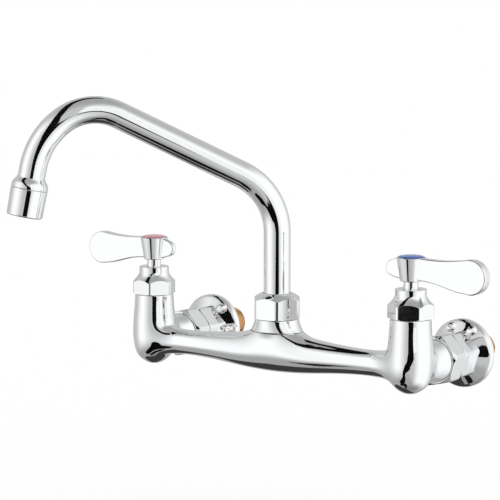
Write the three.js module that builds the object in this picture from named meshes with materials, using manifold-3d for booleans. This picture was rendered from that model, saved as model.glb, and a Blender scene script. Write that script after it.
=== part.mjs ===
// Commercial wall faucet: two levers on quarter-turn valves and a swivel spout.
//
// Millimetres. +Z is up, +X is to the right seen from the front and +Y points into the wall.
// The origin lies on the wall plane, midway between the two inlets and level with them.
// Heights are measured from the axis of the bar that joins the valves, which is z = 0.
// Hot water is on the left (-X) and cold water on the right (+X).

import * as THREE from 'three';
import { mergeVertices } from 'three/addons/utils/BufferGeometryUtils.js';
import Module from 'manifold-3d';

const wasm = await Module();
wasm.setup();

// ---------------------------------------------------------------- driving dimensions

// Clearances
const SEAT_GAP = 0.3; // between faces that rest on each other
const RUN_GAP = 0.3; // around a piece that lies or turns in a bore
const CUT_OVER = 1; // how far a cutting shape runs past the face that it opens
const JOIN_OVER = 1; // how far a shape runs into the one that it is joined to
const EDGE_BREAK = 0.5; // small chamfer on turned edges
const THREAD_CHAMFER = 0.8; // at the ends of threads
const CORNER_CLEAR = 0.1; // a hexagon's barrel outside its corners

// Facets round a full turn
const SHOWN_FACETS = 28;
const SMALL_FACETS = 16;
const TUBE_FACETS = 24;
const RING_FACETS = 6; // round the section of an O-ring
const HOLE_FACETS = 8;

// Layout
const VALVE_SPACING = 203.2; // 8 in between the inlets
const WALL_TO_BAR = 69.7; // wall plane to the axis of the bar

// Bar between the valves, barrel shaped and thickest in the middle
const BAR_END_RADIUS = 8.2;
const BAR_MIDDLE_RADIUS = 13.2;
const BAR_BELL_POWER = 1.5; // above 1 the bell is narrower than a cosine
const BAR_FILLET = 6; // where the bar runs into a valve
const BAR_BORE_RADIUS = 5.2;
const BAR_STATIONS = 8; // sections along each half of the bell

// Valve stem and ceramic discs, from the inside outwards
const STEM_RADIUS = 4.75;
const STEM_SQUARE = 6.4; // across the flats, inside the handle
const STEM_ORING_SECTION = 0.72; // radius of the section, as for each O-ring
const STEM_ORING_DEPTH = 6; // below the bonnet's top
const DISC_RADIUS = 6.6;
const DISC_THICKNESS = 2.5;
const DISC_PORT_RADIUS = 1.8;
const DISC_PORT_OFFSET = 3.9;
const TONGUE_WIDTH = 3;
const TONGUE_HEIGHT = 2.5;
const TONGUE_DEPTH_IN_DISC = 0.9;
const WINDOW_HEIGHT = 5;
const WINDOW_WIDTH = 7;
const CARTRIDGE_WALL = 1.5;
const CARTRIDGE_LENGTH = 23.4;
const SEAT_SEAL_THICKNESS = 2;
const SEAT_PORT_RADIUS = 4.6;
const SEAT_STEP = 0.8; // the seat lies this far under the bar's bore

// Valve housing, which is part of the body
const WATER_GAP = 1.2; // ring of water round the cartridge
const VALVE_WALL = 2; // at the top, outside the bonnet's thread
const VALVE_SWELL = 1.5; // how much wider the housing is at the bar than at its top
const VALVE_HEIGHT = 31.2;
const VALVE_DEPTH = 16.9;
const VALVE_WIDEST = 3; // height of the widest section
const VALVE_FLOOR = 4.3; // wall under the lower chamber
const VALVE_FOOT_POWER = 0.8; // below 1 the foot is fuller than half an ellipse
const FEED_RADIUS = 2.3; // passage from the inlet arm to the lower chamber
const FEED_ROOF = 0.8; // wall between that passage and the seat

// Bonnet
const BONNET_SKIRT_WALL = 2.2;
const BONNET_SKIRT = 15; // length of thread below the hexagon
const BONNET_FLATS = 26.5;
const BONNET_HEX_HEIGHT = 7.6;
const BONNET_HEX_DOME = 2.4;
const BONNET_NECK_RADIUS = 10.07;
const BONNET_FLARE_RADIUS = 11.9;
const BONNET_FLARE_HEIGHT = 5.4;
const BONNET_FLARE_POWER = 1.8; // 1 is a straight cone
const BONNET_HEIGHT = 18.7; // from the hexagon's underside to the neck's top
const BONNET_ORING_SECTION = 0.65;
const BONNET_GROOVE_WIDTH = 2;
const HOT_BONNET_TURN = 23.6; // degrees, one corner of the hexagon away from straight forward
const COLD_BONNET_TURN = -12.8;

// Lever handle
const STEM_SHOWING = 4.8; // between the bonnet and the handle's hub
const HUB_HEIGHT = 15.2;
const HUB_FOOT_RADIUS = 7;
const HUB_TOP_RADIUS = 9.5;
const HUB_BORE_DEPTH = 8.3;
const HUB_SQUARE_START = 1.3; // round bore below this height, square above
const HUB_WEB = 1.7; // between the stem and the screw's head
const LEVER_THICKNESS = 7;
const LEVER_EDGE = 0.8; // rounding of the lever's edges
const PADDLE_REACH = 54.6; // valve axis to the end of the paddle
const PADDLE_RADIUS = 11.1; // of the paddle's round end
const PADDLE_DROP = 9.7; // centre of that round end below the hub's top
const LEVER_NECK = 14.2; // height of the lever beside the hub
const TAIL_REACH = 17.6;
const TAIL_RADIUS = 5.4;
const TAIL_DROP = 7.4;
const SCREW_RADIUS = 1.8;
const SCREW_HEAD_RADIUS = 3.8;
const SCREW_HEAD_HEIGHT = 2.3;
const SCREW_LENGTH = 11;
const SCREW_SLOT = 1;
const INDEX_RIM = 0.75; // wall of the hub round the index button
const INDEX_SEAT_DEPTH = 1.2;
const INDEX_DOME = 1.6;
const INDEX_PLUG_HEIGHT = 0.9;

// Inlet arm at the back of each valve housing
const ARM_START_RADIUS = 12;
const ARM_END_RADIUS = 14.2;
const ARM_LENGTH = 28.5;
const ARM_BORE_RADIUS = 7;
const ARM_BORE_WALL = 2.4; // between the valve chamber and the arm's bore
const UNION_THREAD_RADIUS = 11.9;
const UNION_THREAD_LENGTH = 8.5;
const UNION_WASHER_THICKNESS = 2;

// Coupling nut and flanged inlet
const COUPLING_FLATS = 30.6;
const COUPLING_LIP = 1.7;
const COUPLING_CHAMFER = 2.2;
const NOSE_RADIUS = 9.6;
const NOSE_CLIP_OFFSET = 0.8; // nose's front face to the clip's groove
const CLIP_THICKNESS = 1.2;
const CLIP_GROOVE_DEPTH = 1;
const CLIP_OPENING = 60; // degrees of the clip that are open
const INLET_HEX_FLATS = 28.8;
const INLET_HEX_TURN = 17; // degrees, a corner away from straight up
const INLET_BORE_RADIUS = 6.5;
const NUT_TO_HEX = 1.2;
const FLANGE_RADIUS = 22.7;
const FLANGE_DEPTH = 8.7; // wall to the foot of the flange's cone
const FLANGE_RIM = 3.6;
const FLANGE_EDGE = 1.1; // rounding between the flange's face and its rim
const FLANGE_RECESS_DEPTH = 2.5; // hollow in the flange's back for the adapter's hexagon
const FIXING_HOLE_RADIUS = 2;
const FIXING_HEAD_RADIUS = 3.5;
const FIXING_HEAD_DEPTH = 2;
const FIXING_HEAD_SINK = 0.6; // countersink's foot behind the front of the rim
const FIXING_EDGE = 0.7; // countersink to the flange's rim
const FIXING_ANGLES = [-20, 30]; // degrees from straight up, on the cold side
const HOT_INLET_TURN = 60; // degrees that the hot side's inlet is screwed further round

// Brass adapter, from the flanged inlet backwards through the wall
const ADAPTER_THREAD_RADIUS = 10.3;
const ADAPTER_THREAD_LENGTH = 5.5;
const ADAPTER_GROOVE_LENGTH = 3;
const ADAPTER_COLLAR_LENGTH = 4;
const ADAPTER_HEX_FLATS = 27;
const ADAPTER_HEX_LENGTH = 7;
const ADAPTER_TAPER_LENGTH = 21;
const ADAPTER_TAPER_RADIUS = 10.9; // beside the hexagon, 1/2 in pipe thread
const ADAPTER_END_RADIUS = 10.2;
const ADAPTER_BORE_RADIUS = 7;
const ADAPTER_ORING_SECTION = 1.1;

// Spout swivel in the middle of the bar
const TUBE_RADIUS = 8.85;
const TUBE_WALL = 1.2;
const BOSS_WALL = 2.6; // boss's bore to the outside of its thread
const BOSS_SHOULDER = 2.6; // step that the nut stops on
const BOSS_HEIGHT = 22.7;
const BOSS_THREAD_LENGTH = 9.3;
const BOSS_FILLET = 11;
const BOSS_FILLET_SWEEP = 70; // degrees
const BOSS_RIM = 1.5; // upright stretch above the fillet
const BOSS_BORE_DEPTH = 24;
const BOSS_PORT_RADIUS = 6;
const SPIGOT_WALL = 1.25; // under the O-rings' grooves
const SPIGOT_STUB_WALL = 1.2; // inside the tube
const SPIGOT_SHOULDER_HEIGHT = 2;
const SPIGOT_STUB_LENGTH = 9;
const SPOUT_ORING_SECTION = 0.7;
const SPOUT_ORING_HEIGHTS = [6, 15]; // above the spigot's foot
const GLIDE_RING_THICKNESS = 1;
const SPOUT_NUT_FLATS = 29.6;
const SPOUT_NUT_LIP = 3.8;
const SPOUT_NUT_DOME = 5;
const SPOUT_NUT_COLLAR = 1; // wall of the collar round the tube
const SPOUT_NUT_TURN = 34; // degrees, one corner away from straight forward

// Spout tube, bent in one upright plane
const SPOUT_REST_SWING = 45; // degrees to the left of straight forward
const SPOUT_CORNER_HEIGHT = 106.2; // where riser and slope would meet
const RISER_PITCH = 90; // degrees above level, as for the slope
const SPOUT_SLOPE = 26.2;
const RISER_BEND_RADIUS = 42.6;
const SLOPE_END = 103.7; // out from the riser's axis
const ARCH_BEND_RADIUS = 35.2;
const ARCH_END_PITCH = 37; // degrees below level, where the arch eases
const DROP_BEND_RADIUS = 49;
const TIP_PITCH = 79; // degrees below level
const TIP_STRAIGHT = 12.9;
const BEND_STEPS = [8, 8, 5]; // sections round the riser, arch and drop bends

// Spout tip and aerator
const TIP_CONE_LENGTH = 5;
const TIP_CONE_START = 0.6; // wall where the cone starts on the tube
const TIP_RADIUS = 11.5;
const TIP_THREAD_RADIUS = 10.1;
const TIP_THREAD_LENGTH = 7.4;
const AERATOR_TOP_RADIUS = 12;
const AERATOR_FOOT_RADIUS = 11.6;
const AERATOR_LENGTH = 18;
const AERATOR_LIP = 1.2;
const AERATOR_LIP_HEIGHT = 1.4;
const AERATOR_WASHER_THICKNESS = 1.5;
const AERATOR_WASHER_WALL = 2.6;
const AERATOR_INSERT_FLANGE = 1.3;
const AERATOR_HOLE_RADIUS = 1.2;
const AERATOR_HOLE_PITCH = 5.4; // radius of the ring of holes round the middle one
const AERATOR_HOLES = 6;
const SCREEN_THICKNESS = 0.5;
const SCREEN_HOLE = 2;
const SCREEN_PITCH = 3;
const SCREEN_HOLES = 3; // along each side of the grid

// ---------------------------------------------------------------- derived dimensions

const TAU = 2 * Math.PI;
const rad = (degrees) => (degrees * Math.PI) / 180;
const cornerRadius = (flats) => flats / 2 / Math.cos(Math.PI / 6);
const grooveFloor = (outside, section) => outside - 2 * section - RUN_GAP;

const valveX = VALVE_SPACING / 2;

// Valve, upwards from the seat
const seatZ = -(BAR_BORE_RADIUS + SEAT_STEP);
const seatSealZ = seatZ + SEAT_GAP;
const cartridgeZ = seatSealZ + SEAT_SEAL_THICKNESS + SEAT_GAP;
const movingDiscZ = cartridgeZ + DISC_THICKNESS + SEAT_GAP;
const discTopZ = movingDiscZ + DISC_THICKNESS;
const tongueZ = discTopZ - TONGUE_DEPTH_IN_DISC + SEAT_GAP;
const tongueTopZ = tongueZ + TONGUE_HEIGHT;
const windowTopZ = discTopZ + WINDOW_HEIGHT;
const cartridgeTopZ = cartridgeZ + CARTRIDGE_LENGTH;
const cartridgeRadius = DISC_RADIUS + RUN_GAP + CARTRIDGE_WALL;
const stemBore = STEM_RADIUS + RUN_GAP;

const bonnetThreadRadius = cartridgeRadius + RUN_GAP + BONNET_SKIRT_WALL;
const bonnetZ = VALVE_HEIGHT + SEAT_GAP;
const bonnetFootZ = bonnetZ - BONNET_SKIRT;
const bonnetTopZ = bonnetZ + BONNET_HEIGHT;
const bonnetOringZ = bonnetZ - BONNET_GROOVE_WIDTH / 2;

const chamberRadius = cartridgeRadius + WATER_GAP;
const valveThreadBore = bonnetThreadRadius + RUN_GAP;
const valveTopRadius = valveThreadBore + VALVE_WALL;
const valveRadius = valveTopRadius + VALVE_SWELL;
const lowerChamberZ = -VALVE_DEPTH + VALVE_FLOOR;
const armBoreStart = chamberRadius + ARM_BORE_WALL;
const feedZ = seatZ - FEED_ROOF - FEED_RADIUS;

const hubZ = bonnetTopZ + STEM_SHOWING;
const hubTopZ = hubZ + HUB_HEIGHT;
const hubBoreTopZ = hubZ + HUB_BORE_DEPTH;
const stemTopZ = hubBoreTopZ - SEAT_GAP;
const screwSeatZ = hubBoreTopZ + HUB_WEB;
const screwHeadZ = screwSeatZ + SEAT_GAP;
const indexSeatZ = hubTopZ - INDEX_SEAT_DEPTH;
const indexSeatRadius = HUB_TOP_RADIUS - INDEX_RIM;
const indexPlugRadius = SCREW_HEAD_RADIUS + RUN_GAP;
const stemOringZ = bonnetTopZ - STEM_ORING_DEPTH;

// Inlet, backwards from the valve's axis
const unionThreadEnd = ARM_LENGTH + UNION_THREAD_LENGTH;
const unionWasherStart = unionThreadEnd + SEAT_GAP;
const noseStart = unionWasherStart + UNION_WASHER_THICKNESS + SEAT_GAP;
const clipStart = noseStart + NOSE_CLIP_OFFSET;
const couplingStart = ARM_LENGTH + SEAT_GAP;
const couplingLipStart = clipStart + CLIP_THICKNESS + SEAT_GAP;
const couplingEnd = couplingLipStart + COUPLING_LIP;
const couplingBore = UNION_THREAD_RADIUS + RUN_GAP;
const inletHexStart = couplingEnd + NUT_TO_HEX;
const flangeStart = WALL_TO_BAR - FLANGE_DEPTH;
const flangeRimStart = WALL_TO_BAR - FLANGE_RIM;
const clipInnerRadius = NOSE_RADIUS - CLIP_GROOVE_DEPTH + RUN_GAP;
const clipOuterRadius = couplingBore - RUN_GAP;
const fixingPitchRadius = FLANGE_RADIUS - FIXING_EDGE - FIXING_HEAD_RADIUS;

const adapterInsert = ADAPTER_THREAD_LENGTH + ADAPTER_GROOVE_LENGTH + ADAPTER_COLLAR_LENGTH;
const flangeRecessRadius = cornerRadius(ADAPTER_HEX_FLATS) + RUN_GAP;
const adapterHexStart = WALL_TO_BAR - FLANGE_RECESS_DEPTH + SEAT_GAP;
const adapterStart = adapterHexStart - adapterInsert;
const adapterBore = ADAPTER_THREAD_RADIUS + RUN_GAP;

// Spout swivel, upwards
const tubeBore = TUBE_RADIUS - TUBE_WALL;
const spigotStubRadius = tubeBore - RUN_GAP;
const spigotBore = spigotStubRadius - SPIGOT_STUB_WALL;
const spigotRadius = spigotBore + SPIGOT_WALL + 2 * SPOUT_ORING_SECTION + RUN_GAP;
const bossBore = spigotRadius + RUN_GAP;
const bossThreadRadius = bossBore + BOSS_WALL;
const bossRadius = bossThreadRadius + BOSS_SHOULDER;
const bossTopZ = BOSS_HEIGHT + BOSS_THREAD_LENGTH;
const bossFloorZ = bossTopZ - BOSS_BORE_DEPTH;
const spigotZ = bossFloorZ + SEAT_GAP;
const spigotShoulderZ = bossTopZ + SEAT_GAP;
const spigotShoulderRadius = bossThreadRadius - BOSS_WALL / 4;
const tubeStartZ = spigotShoulderZ + SPIGOT_SHOULDER_HEIGHT + SEAT_GAP;
const glideRingZ = tubeStartZ;
const nutLipZ = glideRingZ + GLIDE_RING_THICKNESS + SEAT_GAP;
const nutTopZ = nutLipZ + SPOUT_NUT_LIP;
const nutStartZ = BOSS_HEIGHT + SEAT_GAP;
const nutBore = bossThreadRadius + RUN_GAP;
const nutTubeBore = TUBE_RADIUS + RUN_GAP;

// Aerator, along the flow from the tube's end
const tipThreadEnd = SEAT_GAP + TIP_THREAD_LENGTH;
const aeratorStart = 2 * SEAT_GAP;
const aeratorEnd = aeratorStart + AERATOR_LENGTH;
const aeratorBore = TIP_THREAD_RADIUS + RUN_GAP;
const aeratorWasherStart = tipThreadEnd + SEAT_GAP;
const insertStart = aeratorWasherStart + AERATOR_WASHER_THICKNESS + SEAT_GAP;
const insertBodyRadius = aeratorBore - AERATOR_LIP - RUN_GAP;
const insertEnd = aeratorEnd - AERATOR_LIP_HEIGHT / 2;
const washerBore = TIP_THREAD_RADIUS - AERATOR_WASHER_WALL;

// ---------------------------------------------------------------- materials

function metal(color, roughness, metalness) {
  return new THREE.MeshStandardMaterial({ color, roughness, metalness });
}

const CHROME = metal(0xd8dadd, 0.05, 1);
const BRASS = metal(0xc79a45, 0.3, 1);
const STEEL = metal(0xb4b6b8, 0.35, 1);
const CERAMIC = metal(0xf0ede4, 0.25, 0);
const RUBBER = metal(0x161616, 0.8, 0);
const ACETAL = metal(0xe4e4df, 0.5, 0);
const HOT_PLASTIC = metal(0xc8565a, 0.3, 0);
const COLD_PLASTIC = metal(0x2f63b8, 0.3, 0);

// ---------------------------------------------------------------- solids

// A closed geometry as a solid, with its faces turned outwards.
function solid(geometry) {
  const bare = geometry.index ? geometry.toNonIndexed() : geometry.clone();
  bare.deleteAttribute('normal');
  bare.deleteAttribute('uv');
  const merged = mergeVertices(bare, 1e-4);
  const corners = merged.index.array;
  const places = merged.attributes.position.array;
  const triangles = [];
  for (let i = 0; i < corners.length; i += 3) {
    const [a, b, c] = [corners[i], corners[i + 1], corners[i + 2]];
    if (a !== b && b !== c && c !== a) triangles.push(a, b, c);
  }
  if (signedVolume(places, triangles) < 0) triangles.reverse();
  return new wasm.Manifold(new wasm.Mesh({
    numProp: 3,
    vertProperties: Float32Array.from(places),
    triVerts: Uint32Array.from(triangles),
  }));
}

function signedVolume(places, triangles) {
  const corner = [new THREE.Vector3(), new THREE.Vector3(), new THREE.Vector3()];
  let sum = 0;
  for (let i = 0; i < triangles.length; i += 3) {
    corner.forEach((vector, k) => vector.fromArray(places, 3 * triangles[i + k]));
    sum += corner[0].dot(corner[1].cross(corner[2]));
  }
  return sum / 6;
}

function joined(...solids) {
  return solids.reduce((whole, next) => whole.add(next));
}

function cut(whole, ...tools) {
  return whole.subtract(joined(...tools));
}

// A solid turned about Z from [radius, height] points. The profile ends on the axis or,
// where its last point repeats its first, closes on itself.
function turned(profile, facets = SMALL_FACETS) {
  const points = profile.map(([radius, height]) => new THREE.Vector2(radius, height));
  return solid(new THREE.LatheGeometry(points, facets).rotateX(Math.PI / 2));
}

// The same with oval sections: the points are [half width, height, half depth].
function ovalTurned(profile, facets) {
  const points = profile.map(([width, height]) => new THREE.Vector2(width, height));
  const whole = new THREE.LatheGeometry(points, facets).rotateX(Math.PI / 2);
  const place = whole.attributes.position;
  for (let i = 0; i < place.count; i += 1) {
    const [width, , depth] = profile[i % profile.length];
    if (width > 0) place.setY(i, (place.getY(i) * depth) / width);
  }
  return solid(whole);
}

function rod(radius, from, to, facets = SMALL_FACETS) {
  return turned([[0, from], [radius, from], [radius, to], [0, to]], facets);
}

function sleeve(inner, outer, from, to, facets = SMALL_FACETS) {
  return turned([[inner, from], [outer, from], [outer, to], [inner, to], [inner, from]], facets);
}

function block(width, depth, from, to) {
  const box = new THREE.BoxGeometry(width, depth, to - from);
  return solid(box.translate(0, 0, (from + to) / 2));
}

// A hexagonal prism along Z. Unturned, one of its corners points to -Y.
function hexagon(flats, from, to, turn) {
  const prism = new THREE.CylinderGeometry(
    cornerRadius(flats), cornerRadius(flats), to - from, 6, 1, false, rad(turn));
  return solid(prism.rotateX(Math.PI / 2).translate(0, 0, (from + to) / 2));
}

// An O-ring that reaches out to a radius.
function oring(outside, section, height) {
  const torus = new THREE.TorusGeometry(outside - section, section, RING_FACETS, SMALL_FACETS);
  return solid(torus.translate(0, 0, height));
}

// Solids turned about Z are laid along X, or along Y towards the wall.
const alongX = (whole) => whole.rotate([0, 90, 0]);
const alongY = (whole) => whole.rotate([-90, 0, 0]);

// Points of a circular arc from one angle to another, in degrees.
function arc(centreX, centreY, radius, start, end, steps) {
  return Array.from({ length: steps + 1 }, (_, i) => {
    const angle = rad(start + ((end - start) * i) / steps);
    return [centreX + radius * Math.cos(angle), centreY + radius * Math.sin(angle)];
  });
}

function piece(name, whole, material) {
  const { vertProperties, triVerts } = whole.getMesh();
  const geometry = new THREE.BufferGeometry();
  geometry.setAttribute('position', new THREE.BufferAttribute(Float32Array.from(vertProperties), 3));
  geometry.setIndex(Array.from(triVerts));
  geometry.computeVertexNormals();
  const mesh = new THREE.Mesh(geometry, material);
  mesh.name = name;
  return mesh;
}

function group(...children) {
  const whole = new THREE.Group();
  whole.add(...children);
  return whole;
}

// ---------------------------------------------------------------- body

// Radius of the bar at a distance from its middle.
function barRadius(x, fade) {
  const bell = (0.5 * (1 + Math.cos((Math.PI * x) / fade))) ** BAR_BELL_POWER;
  return BAR_END_RADIUS + (BAR_MIDDLE_RADIUS - BAR_END_RADIUS) * bell;
}

// The bar swells to the middle and flares where it runs into the valves.
function bar() {
  const flareStart = valveX - valveRadius - BAR_FILLET / 2;
  const half = [];
  for (let i = 0; i <= BAR_STATIONS; i += 1) {
    const x = (flareStart * i) / BAR_STATIONS;
    half.push([barRadius(x, flareStart), x]);
  }
  const flare = arc(flareStart, BAR_END_RADIUS + BAR_FILLET, BAR_FILLET, -90, -30, 3);
  half.push(...flare.slice(1).map(([x, radius]) => [radius, x]));
  const mirrored = half.slice(1).map(([radius, x]) => [radius, -x]).reverse();
  return alongX(turned([[0, -valveX], [BAR_END_RADIUS, -valveX], ...mirrored, ...half,
    [BAR_END_RADIUS, valveX], [0, valveX]], TUBE_FACETS));
}

// Upright housing with a round foot, at its own axis.
function valveHousing() {
  const footStart = -VALVE_DEPTH / 2;
  const side = [
    [valveTopRadius - EDGE_BREAK, VALVE_HEIGHT], [valveTopRadius, VALVE_HEIGHT - EDGE_BREAK],
  ];
  const taperSteps = 4;
  for (let i = 1; i <= taperSteps; i += 1) {
    const share = i / taperSteps;
    const z = THREE.MathUtils.lerp(VALVE_HEIGHT, VALVE_WIDEST, share);
    side.push([valveTopRadius + VALVE_SWELL * Math.sin((share * Math.PI) / 2), z]);
  }
  const footRadius = valveRadius - VALVE_SWELL / 3;
  const footSteps = 6;
  for (let i = 0; i < footSteps; i += 1) {
    const angle = (i / footSteps) * (Math.PI / 2);
    side.push([
      footRadius * Math.cos(angle) ** VALVE_FOOT_POWER,
      footStart - (VALVE_DEPTH + footStart) * Math.sin(angle),
    ]);
  }
  return turned([[0, VALVE_HEIGHT], ...side, [0, -VALVE_DEPTH]], SHOWN_FACETS);
}

// Arm towards the wall with the union's thread on its end.
function inletArm() {
  const cone = turned([
    [0, 0], [ARM_START_RADIUS, 0], [ARM_END_RADIUS, ARM_LENGTH - THREAD_CHAMFER],
    [ARM_END_RADIUS - THREAD_CHAMFER, ARM_LENGTH], [0, ARM_LENGTH],
  ], SHOWN_FACETS);
  return alongY(joined(cone, rod(UNION_THREAD_RADIUS, ARM_LENGTH - JOIN_OVER, unionThreadEnd)));
}

// Water comes in through the arm, down to the lower chamber and up through the seat.
function valvePassages() {
  const threadBore = rod(valveThreadBore, bonnetFootZ - SEAT_GAP, VALVE_HEIGHT + CUT_OVER);
  const chamber = rod(chamberRadius, seatZ, VALVE_HEIGHT);
  const port = rod(SEAT_PORT_RADIUS, lowerChamberZ, 0);
  const armBore = alongY(rod(ARM_BORE_RADIUS, armBoreStart, unionThreadEnd + CUT_OVER));
  const feedLength = armBoreStart + FEED_RADIUS;
  const feed = alongY(rod(FEED_RADIUS, 0, feedLength, HOLE_FACETS)).translate([0, 0, feedZ]);
  const rise = rod(FEED_RADIUS, feedZ, 0, HOLE_FACETS).translate([0, feedLength, 0]);
  return joined(threadBore, chamber, port, armBore, feed, rise);
}

// Round boss under the spout, with fillets that run out along the bar.
function spoutBoss() {
  const filletTop = BOSS_HEIGHT - BOSS_RIM;
  const flare = arc(bossRadius + BOSS_FILLET, filletTop, BOSS_FILLET, 180,
    180 + BOSS_FILLET_SWEEP, 5);
  const depthInBar = BAR_MIDDLE_RADIUS - EDGE_BREAK;
  const halfDepth = (height) => THREE.MathUtils.lerp(depthInBar, bossRadius, height / filletTop);
  const rim = bossRadius - EDGE_BREAK;
  const skirt = ovalTurned([
    [0, BOSS_HEIGHT, 0], [rim, BOSS_HEIGHT, rim],
    [bossRadius, BOSS_HEIGHT - EDGE_BREAK, bossRadius],
    ...flare.map(([width, height]) => [width, height, halfDepth(height)]),
    [flare.at(-1)[0], 0, depthInBar], [0, 0, 0],
  ], SHOWN_FACETS);
  return joined(skirt, rod(bossThreadRadius, BOSS_HEIGHT - JOIN_OVER, bossTopZ));
}

function body() {
  const centre = joined(bar(), spoutBoss());
  const housings = [];
  const passages = [
    alongX(rod(BAR_BORE_RADIUS, -valveX, valveX)),
    rod(BOSS_PORT_RADIUS, 0, bossTopZ),
    rod(bossBore, bossFloorZ, bossTopZ + CUT_OVER),
  ];
  for (const x of [-valveX, valveX]) {
    housings.push(valveHousing().translate([x, 0, 0]), inletArm().translate([x, 0, 0]));
    passages.push(valvePassages().translate([x, 0, 0]));
  }
  return cut(joined(centre, ...housings), ...passages);
}

// ---------------------------------------------------------------- valve

// Profile from the hexagon's top up to the neck.
function bonnetFlare(foot) {
  const depth = BONNET_FLARE_RADIUS - BONNET_NECK_RADIUS;
  const steps = 3;
  return Array.from({ length: steps + 1 }, (_, i) => [
    BONNET_NECK_RADIUS + depth * (1 - i / steps) ** BONNET_FLARE_POWER,
    foot + (BONNET_FLARE_HEIGHT * i) / steps,
  ]);
}

function bonnet(turn) {
  const hexTop = bonnetZ + BONNET_HEX_HEIGHT;
  const wide = cornerRadius(BONNET_FLATS) + CORNER_CLEAR;
  const inscribed = BONNET_FLATS / 2;
  const barrel = turned([
    [0, bonnetZ], [inscribed + THREAD_CHAMFER, bonnetZ], [wide, bonnetZ + THREAD_CHAMFER],
    [wide, hexTop - BONNET_HEX_DOME], [inscribed + THREAD_CHAMFER, hexTop - 0.5 * BONNET_HEX_DOME],
    [inscribed, hexTop - 0.2 * BONNET_HEX_DOME], [BONNET_FLARE_RADIUS, hexTop], [0, hexTop],
  ], SHOWN_FACETS);
  const neckFoot = hexTop - JOIN_OVER;
  const neck = turned([
    [0, neckFoot], [BONNET_FLARE_RADIUS, neckFoot], ...bonnetFlare(hexTop),
    [BONNET_NECK_RADIUS, bonnetTopZ - EDGE_BREAK],
    [BONNET_NECK_RADIUS - EDGE_BREAK, bonnetTopZ], [0, bonnetTopZ],
  ], SHOWN_FACETS);
  const floor = grooveFloor(bonnetThreadRadius, BONNET_ORING_SECTION);
  const grooveFoot = bonnetZ - BONNET_GROOVE_WIDTH;
  const skirt = turned([
    [0, bonnetFootZ], [bonnetThreadRadius, bonnetFootZ], [bonnetThreadRadius, grooveFoot],
    [floor, grooveFoot], [floor, bonnetZ + JOIN_OVER], [0, bonnetZ + JOIN_OVER],
  ]);
  const head = hexagon(BONNET_FLATS, bonnetZ, hexTop, turn).intersect(barrel);
  return cut(
    joined(skirt, head, neck),
    rod(stemBore, bonnetFootZ, bonnetTopZ + CUT_OVER),
    rod(cartridgeRadius + RUN_GAP, bonnetFootZ - CUT_OVER, cartridgeTopZ + SEAT_GAP));
}

// Sleeve that holds the discs, with windows to both sides and a bore for the stem.
function cartridgeBody() {
  const windowBox = block(3 * cartridgeRadius, WINDOW_WIDTH, discTopZ, windowTopZ);
  return cut(
    rod(cartridgeRadius, cartridgeZ, cartridgeTopZ),
    rod(DISC_RADIUS + RUN_GAP, cartridgeZ - CUT_OVER, windowTopZ),
    rod(stemBore, cartridgeZ, cartridgeTopZ + CUT_OVER),
    windowBox);
}

function discPorts(from, to) {
  const port = rod(DISC_PORT_RADIUS, from, to, 12);
  return joined(port.translate([DISC_PORT_OFFSET, 0, 0]), port.translate([-DISC_PORT_OFFSET, 0, 0]));
}

function fixedDisc() {
  const top = cartridgeZ + DISC_THICKNESS;
  return cut(rod(DISC_RADIUS, cartridgeZ, top), discPorts(cartridgeZ - CUT_OVER, top + CUT_OVER));
}

// Closed, its ports lie a quarter turn from those of the fixed disc.
function movingDisc() {
  const grooveZ = discTopZ - TONGUE_DEPTH_IN_DISC;
  return cut(
    rod(DISC_RADIUS, movingDiscZ, discTopZ),
    discPorts(movingDiscZ - CUT_OVER, discTopZ + CUT_OVER).rotate([0, 0, 90]),
    block(3 * DISC_RADIUS, TONGUE_WIDTH + 2 * RUN_GAP, grooveZ, discTopZ + CUT_OVER));
}

function stem() {
  const squareStart = hubZ + HUB_SQUARE_START - SEAT_GAP;
  const oringReach = STEM_ORING_SECTION + RUN_GAP;
  const tongue = block(2 * (DISC_RADIUS - RUN_GAP), TONGUE_WIDTH, tongueZ, tongueTopZ)
    .intersect(rod(DISC_RADIUS - RUN_GAP, tongueZ, tongueTopZ));
  const shaft = rod(STEM_RADIUS, tongueTopZ - EDGE_BREAK, squareStart);
  const square = block(STEM_SQUARE, STEM_SQUARE, squareStart - JOIN_OVER, stemTopZ);
  const floor = grooveFloor(STEM_RADIUS, STEM_ORING_SECTION);
  return cut(
    joined(tongue, shaft, square),
    sleeve(floor, 2 * STEM_RADIUS, stemOringZ - oringReach, stemOringZ + oringReach),
    rod(SCREW_RADIUS + RUN_GAP, screwHeadZ - SCREW_LENGTH - CUT_OVER, stemTopZ + CUT_OVER));
}

// ---------------------------------------------------------------- handle

// Side view of the lever, outwards along +X: paddle, neck beside the hub and tail.
function leverOutline() {
  const paddleX = PADDLE_REACH - PADDLE_RADIUS;
  const paddleZ = hubTopZ - PADDLE_DROP;
  const neckX = HUB_TOP_RADIUS;
  const tailX = -(TAIL_REACH - TAIL_RADIUS);
  const tailZ = hubTopZ - TAIL_DROP;
  const top = hubTopZ - 0.2;
  const bottom = hubTopZ - LEVER_NECK;
  const outline = new THREE.Shape();
  outline.moveTo(0, top);
  outline.lineTo(neckX, top);
  outline.bezierCurveTo(
    neckX + 10, top - 0.6, paddleX - 16, top - 0.9, paddleX - 2, paddleZ + 0.985 * PADDLE_RADIUS);
  outline.absarc(paddleX, paddleZ, PADDLE_RADIUS, rad(88), rad(-104), true);
  outline.bezierCurveTo(
    paddleX - 15, paddleZ - 0.9 * PADDLE_RADIUS, neckX + 14, bottom - 0.9, neckX - 3, bottom);
  outline.lineTo(-HUB_FOOT_RADIUS + 1, bottom);
  outline.quadraticCurveTo(tailX + 1, bottom + 0.6, tailX - 2.2, tailZ - TAIL_RADIUS + 0.6);
  outline.absarc(tailX, tailZ, TAIL_RADIUS, rad(-120), rad(-250), true);
  outline.quadraticCurveTo(tailX + 3, top, -HUB_FOOT_RADIUS, top);
  outline.closePath();
  return outline;
}

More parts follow.
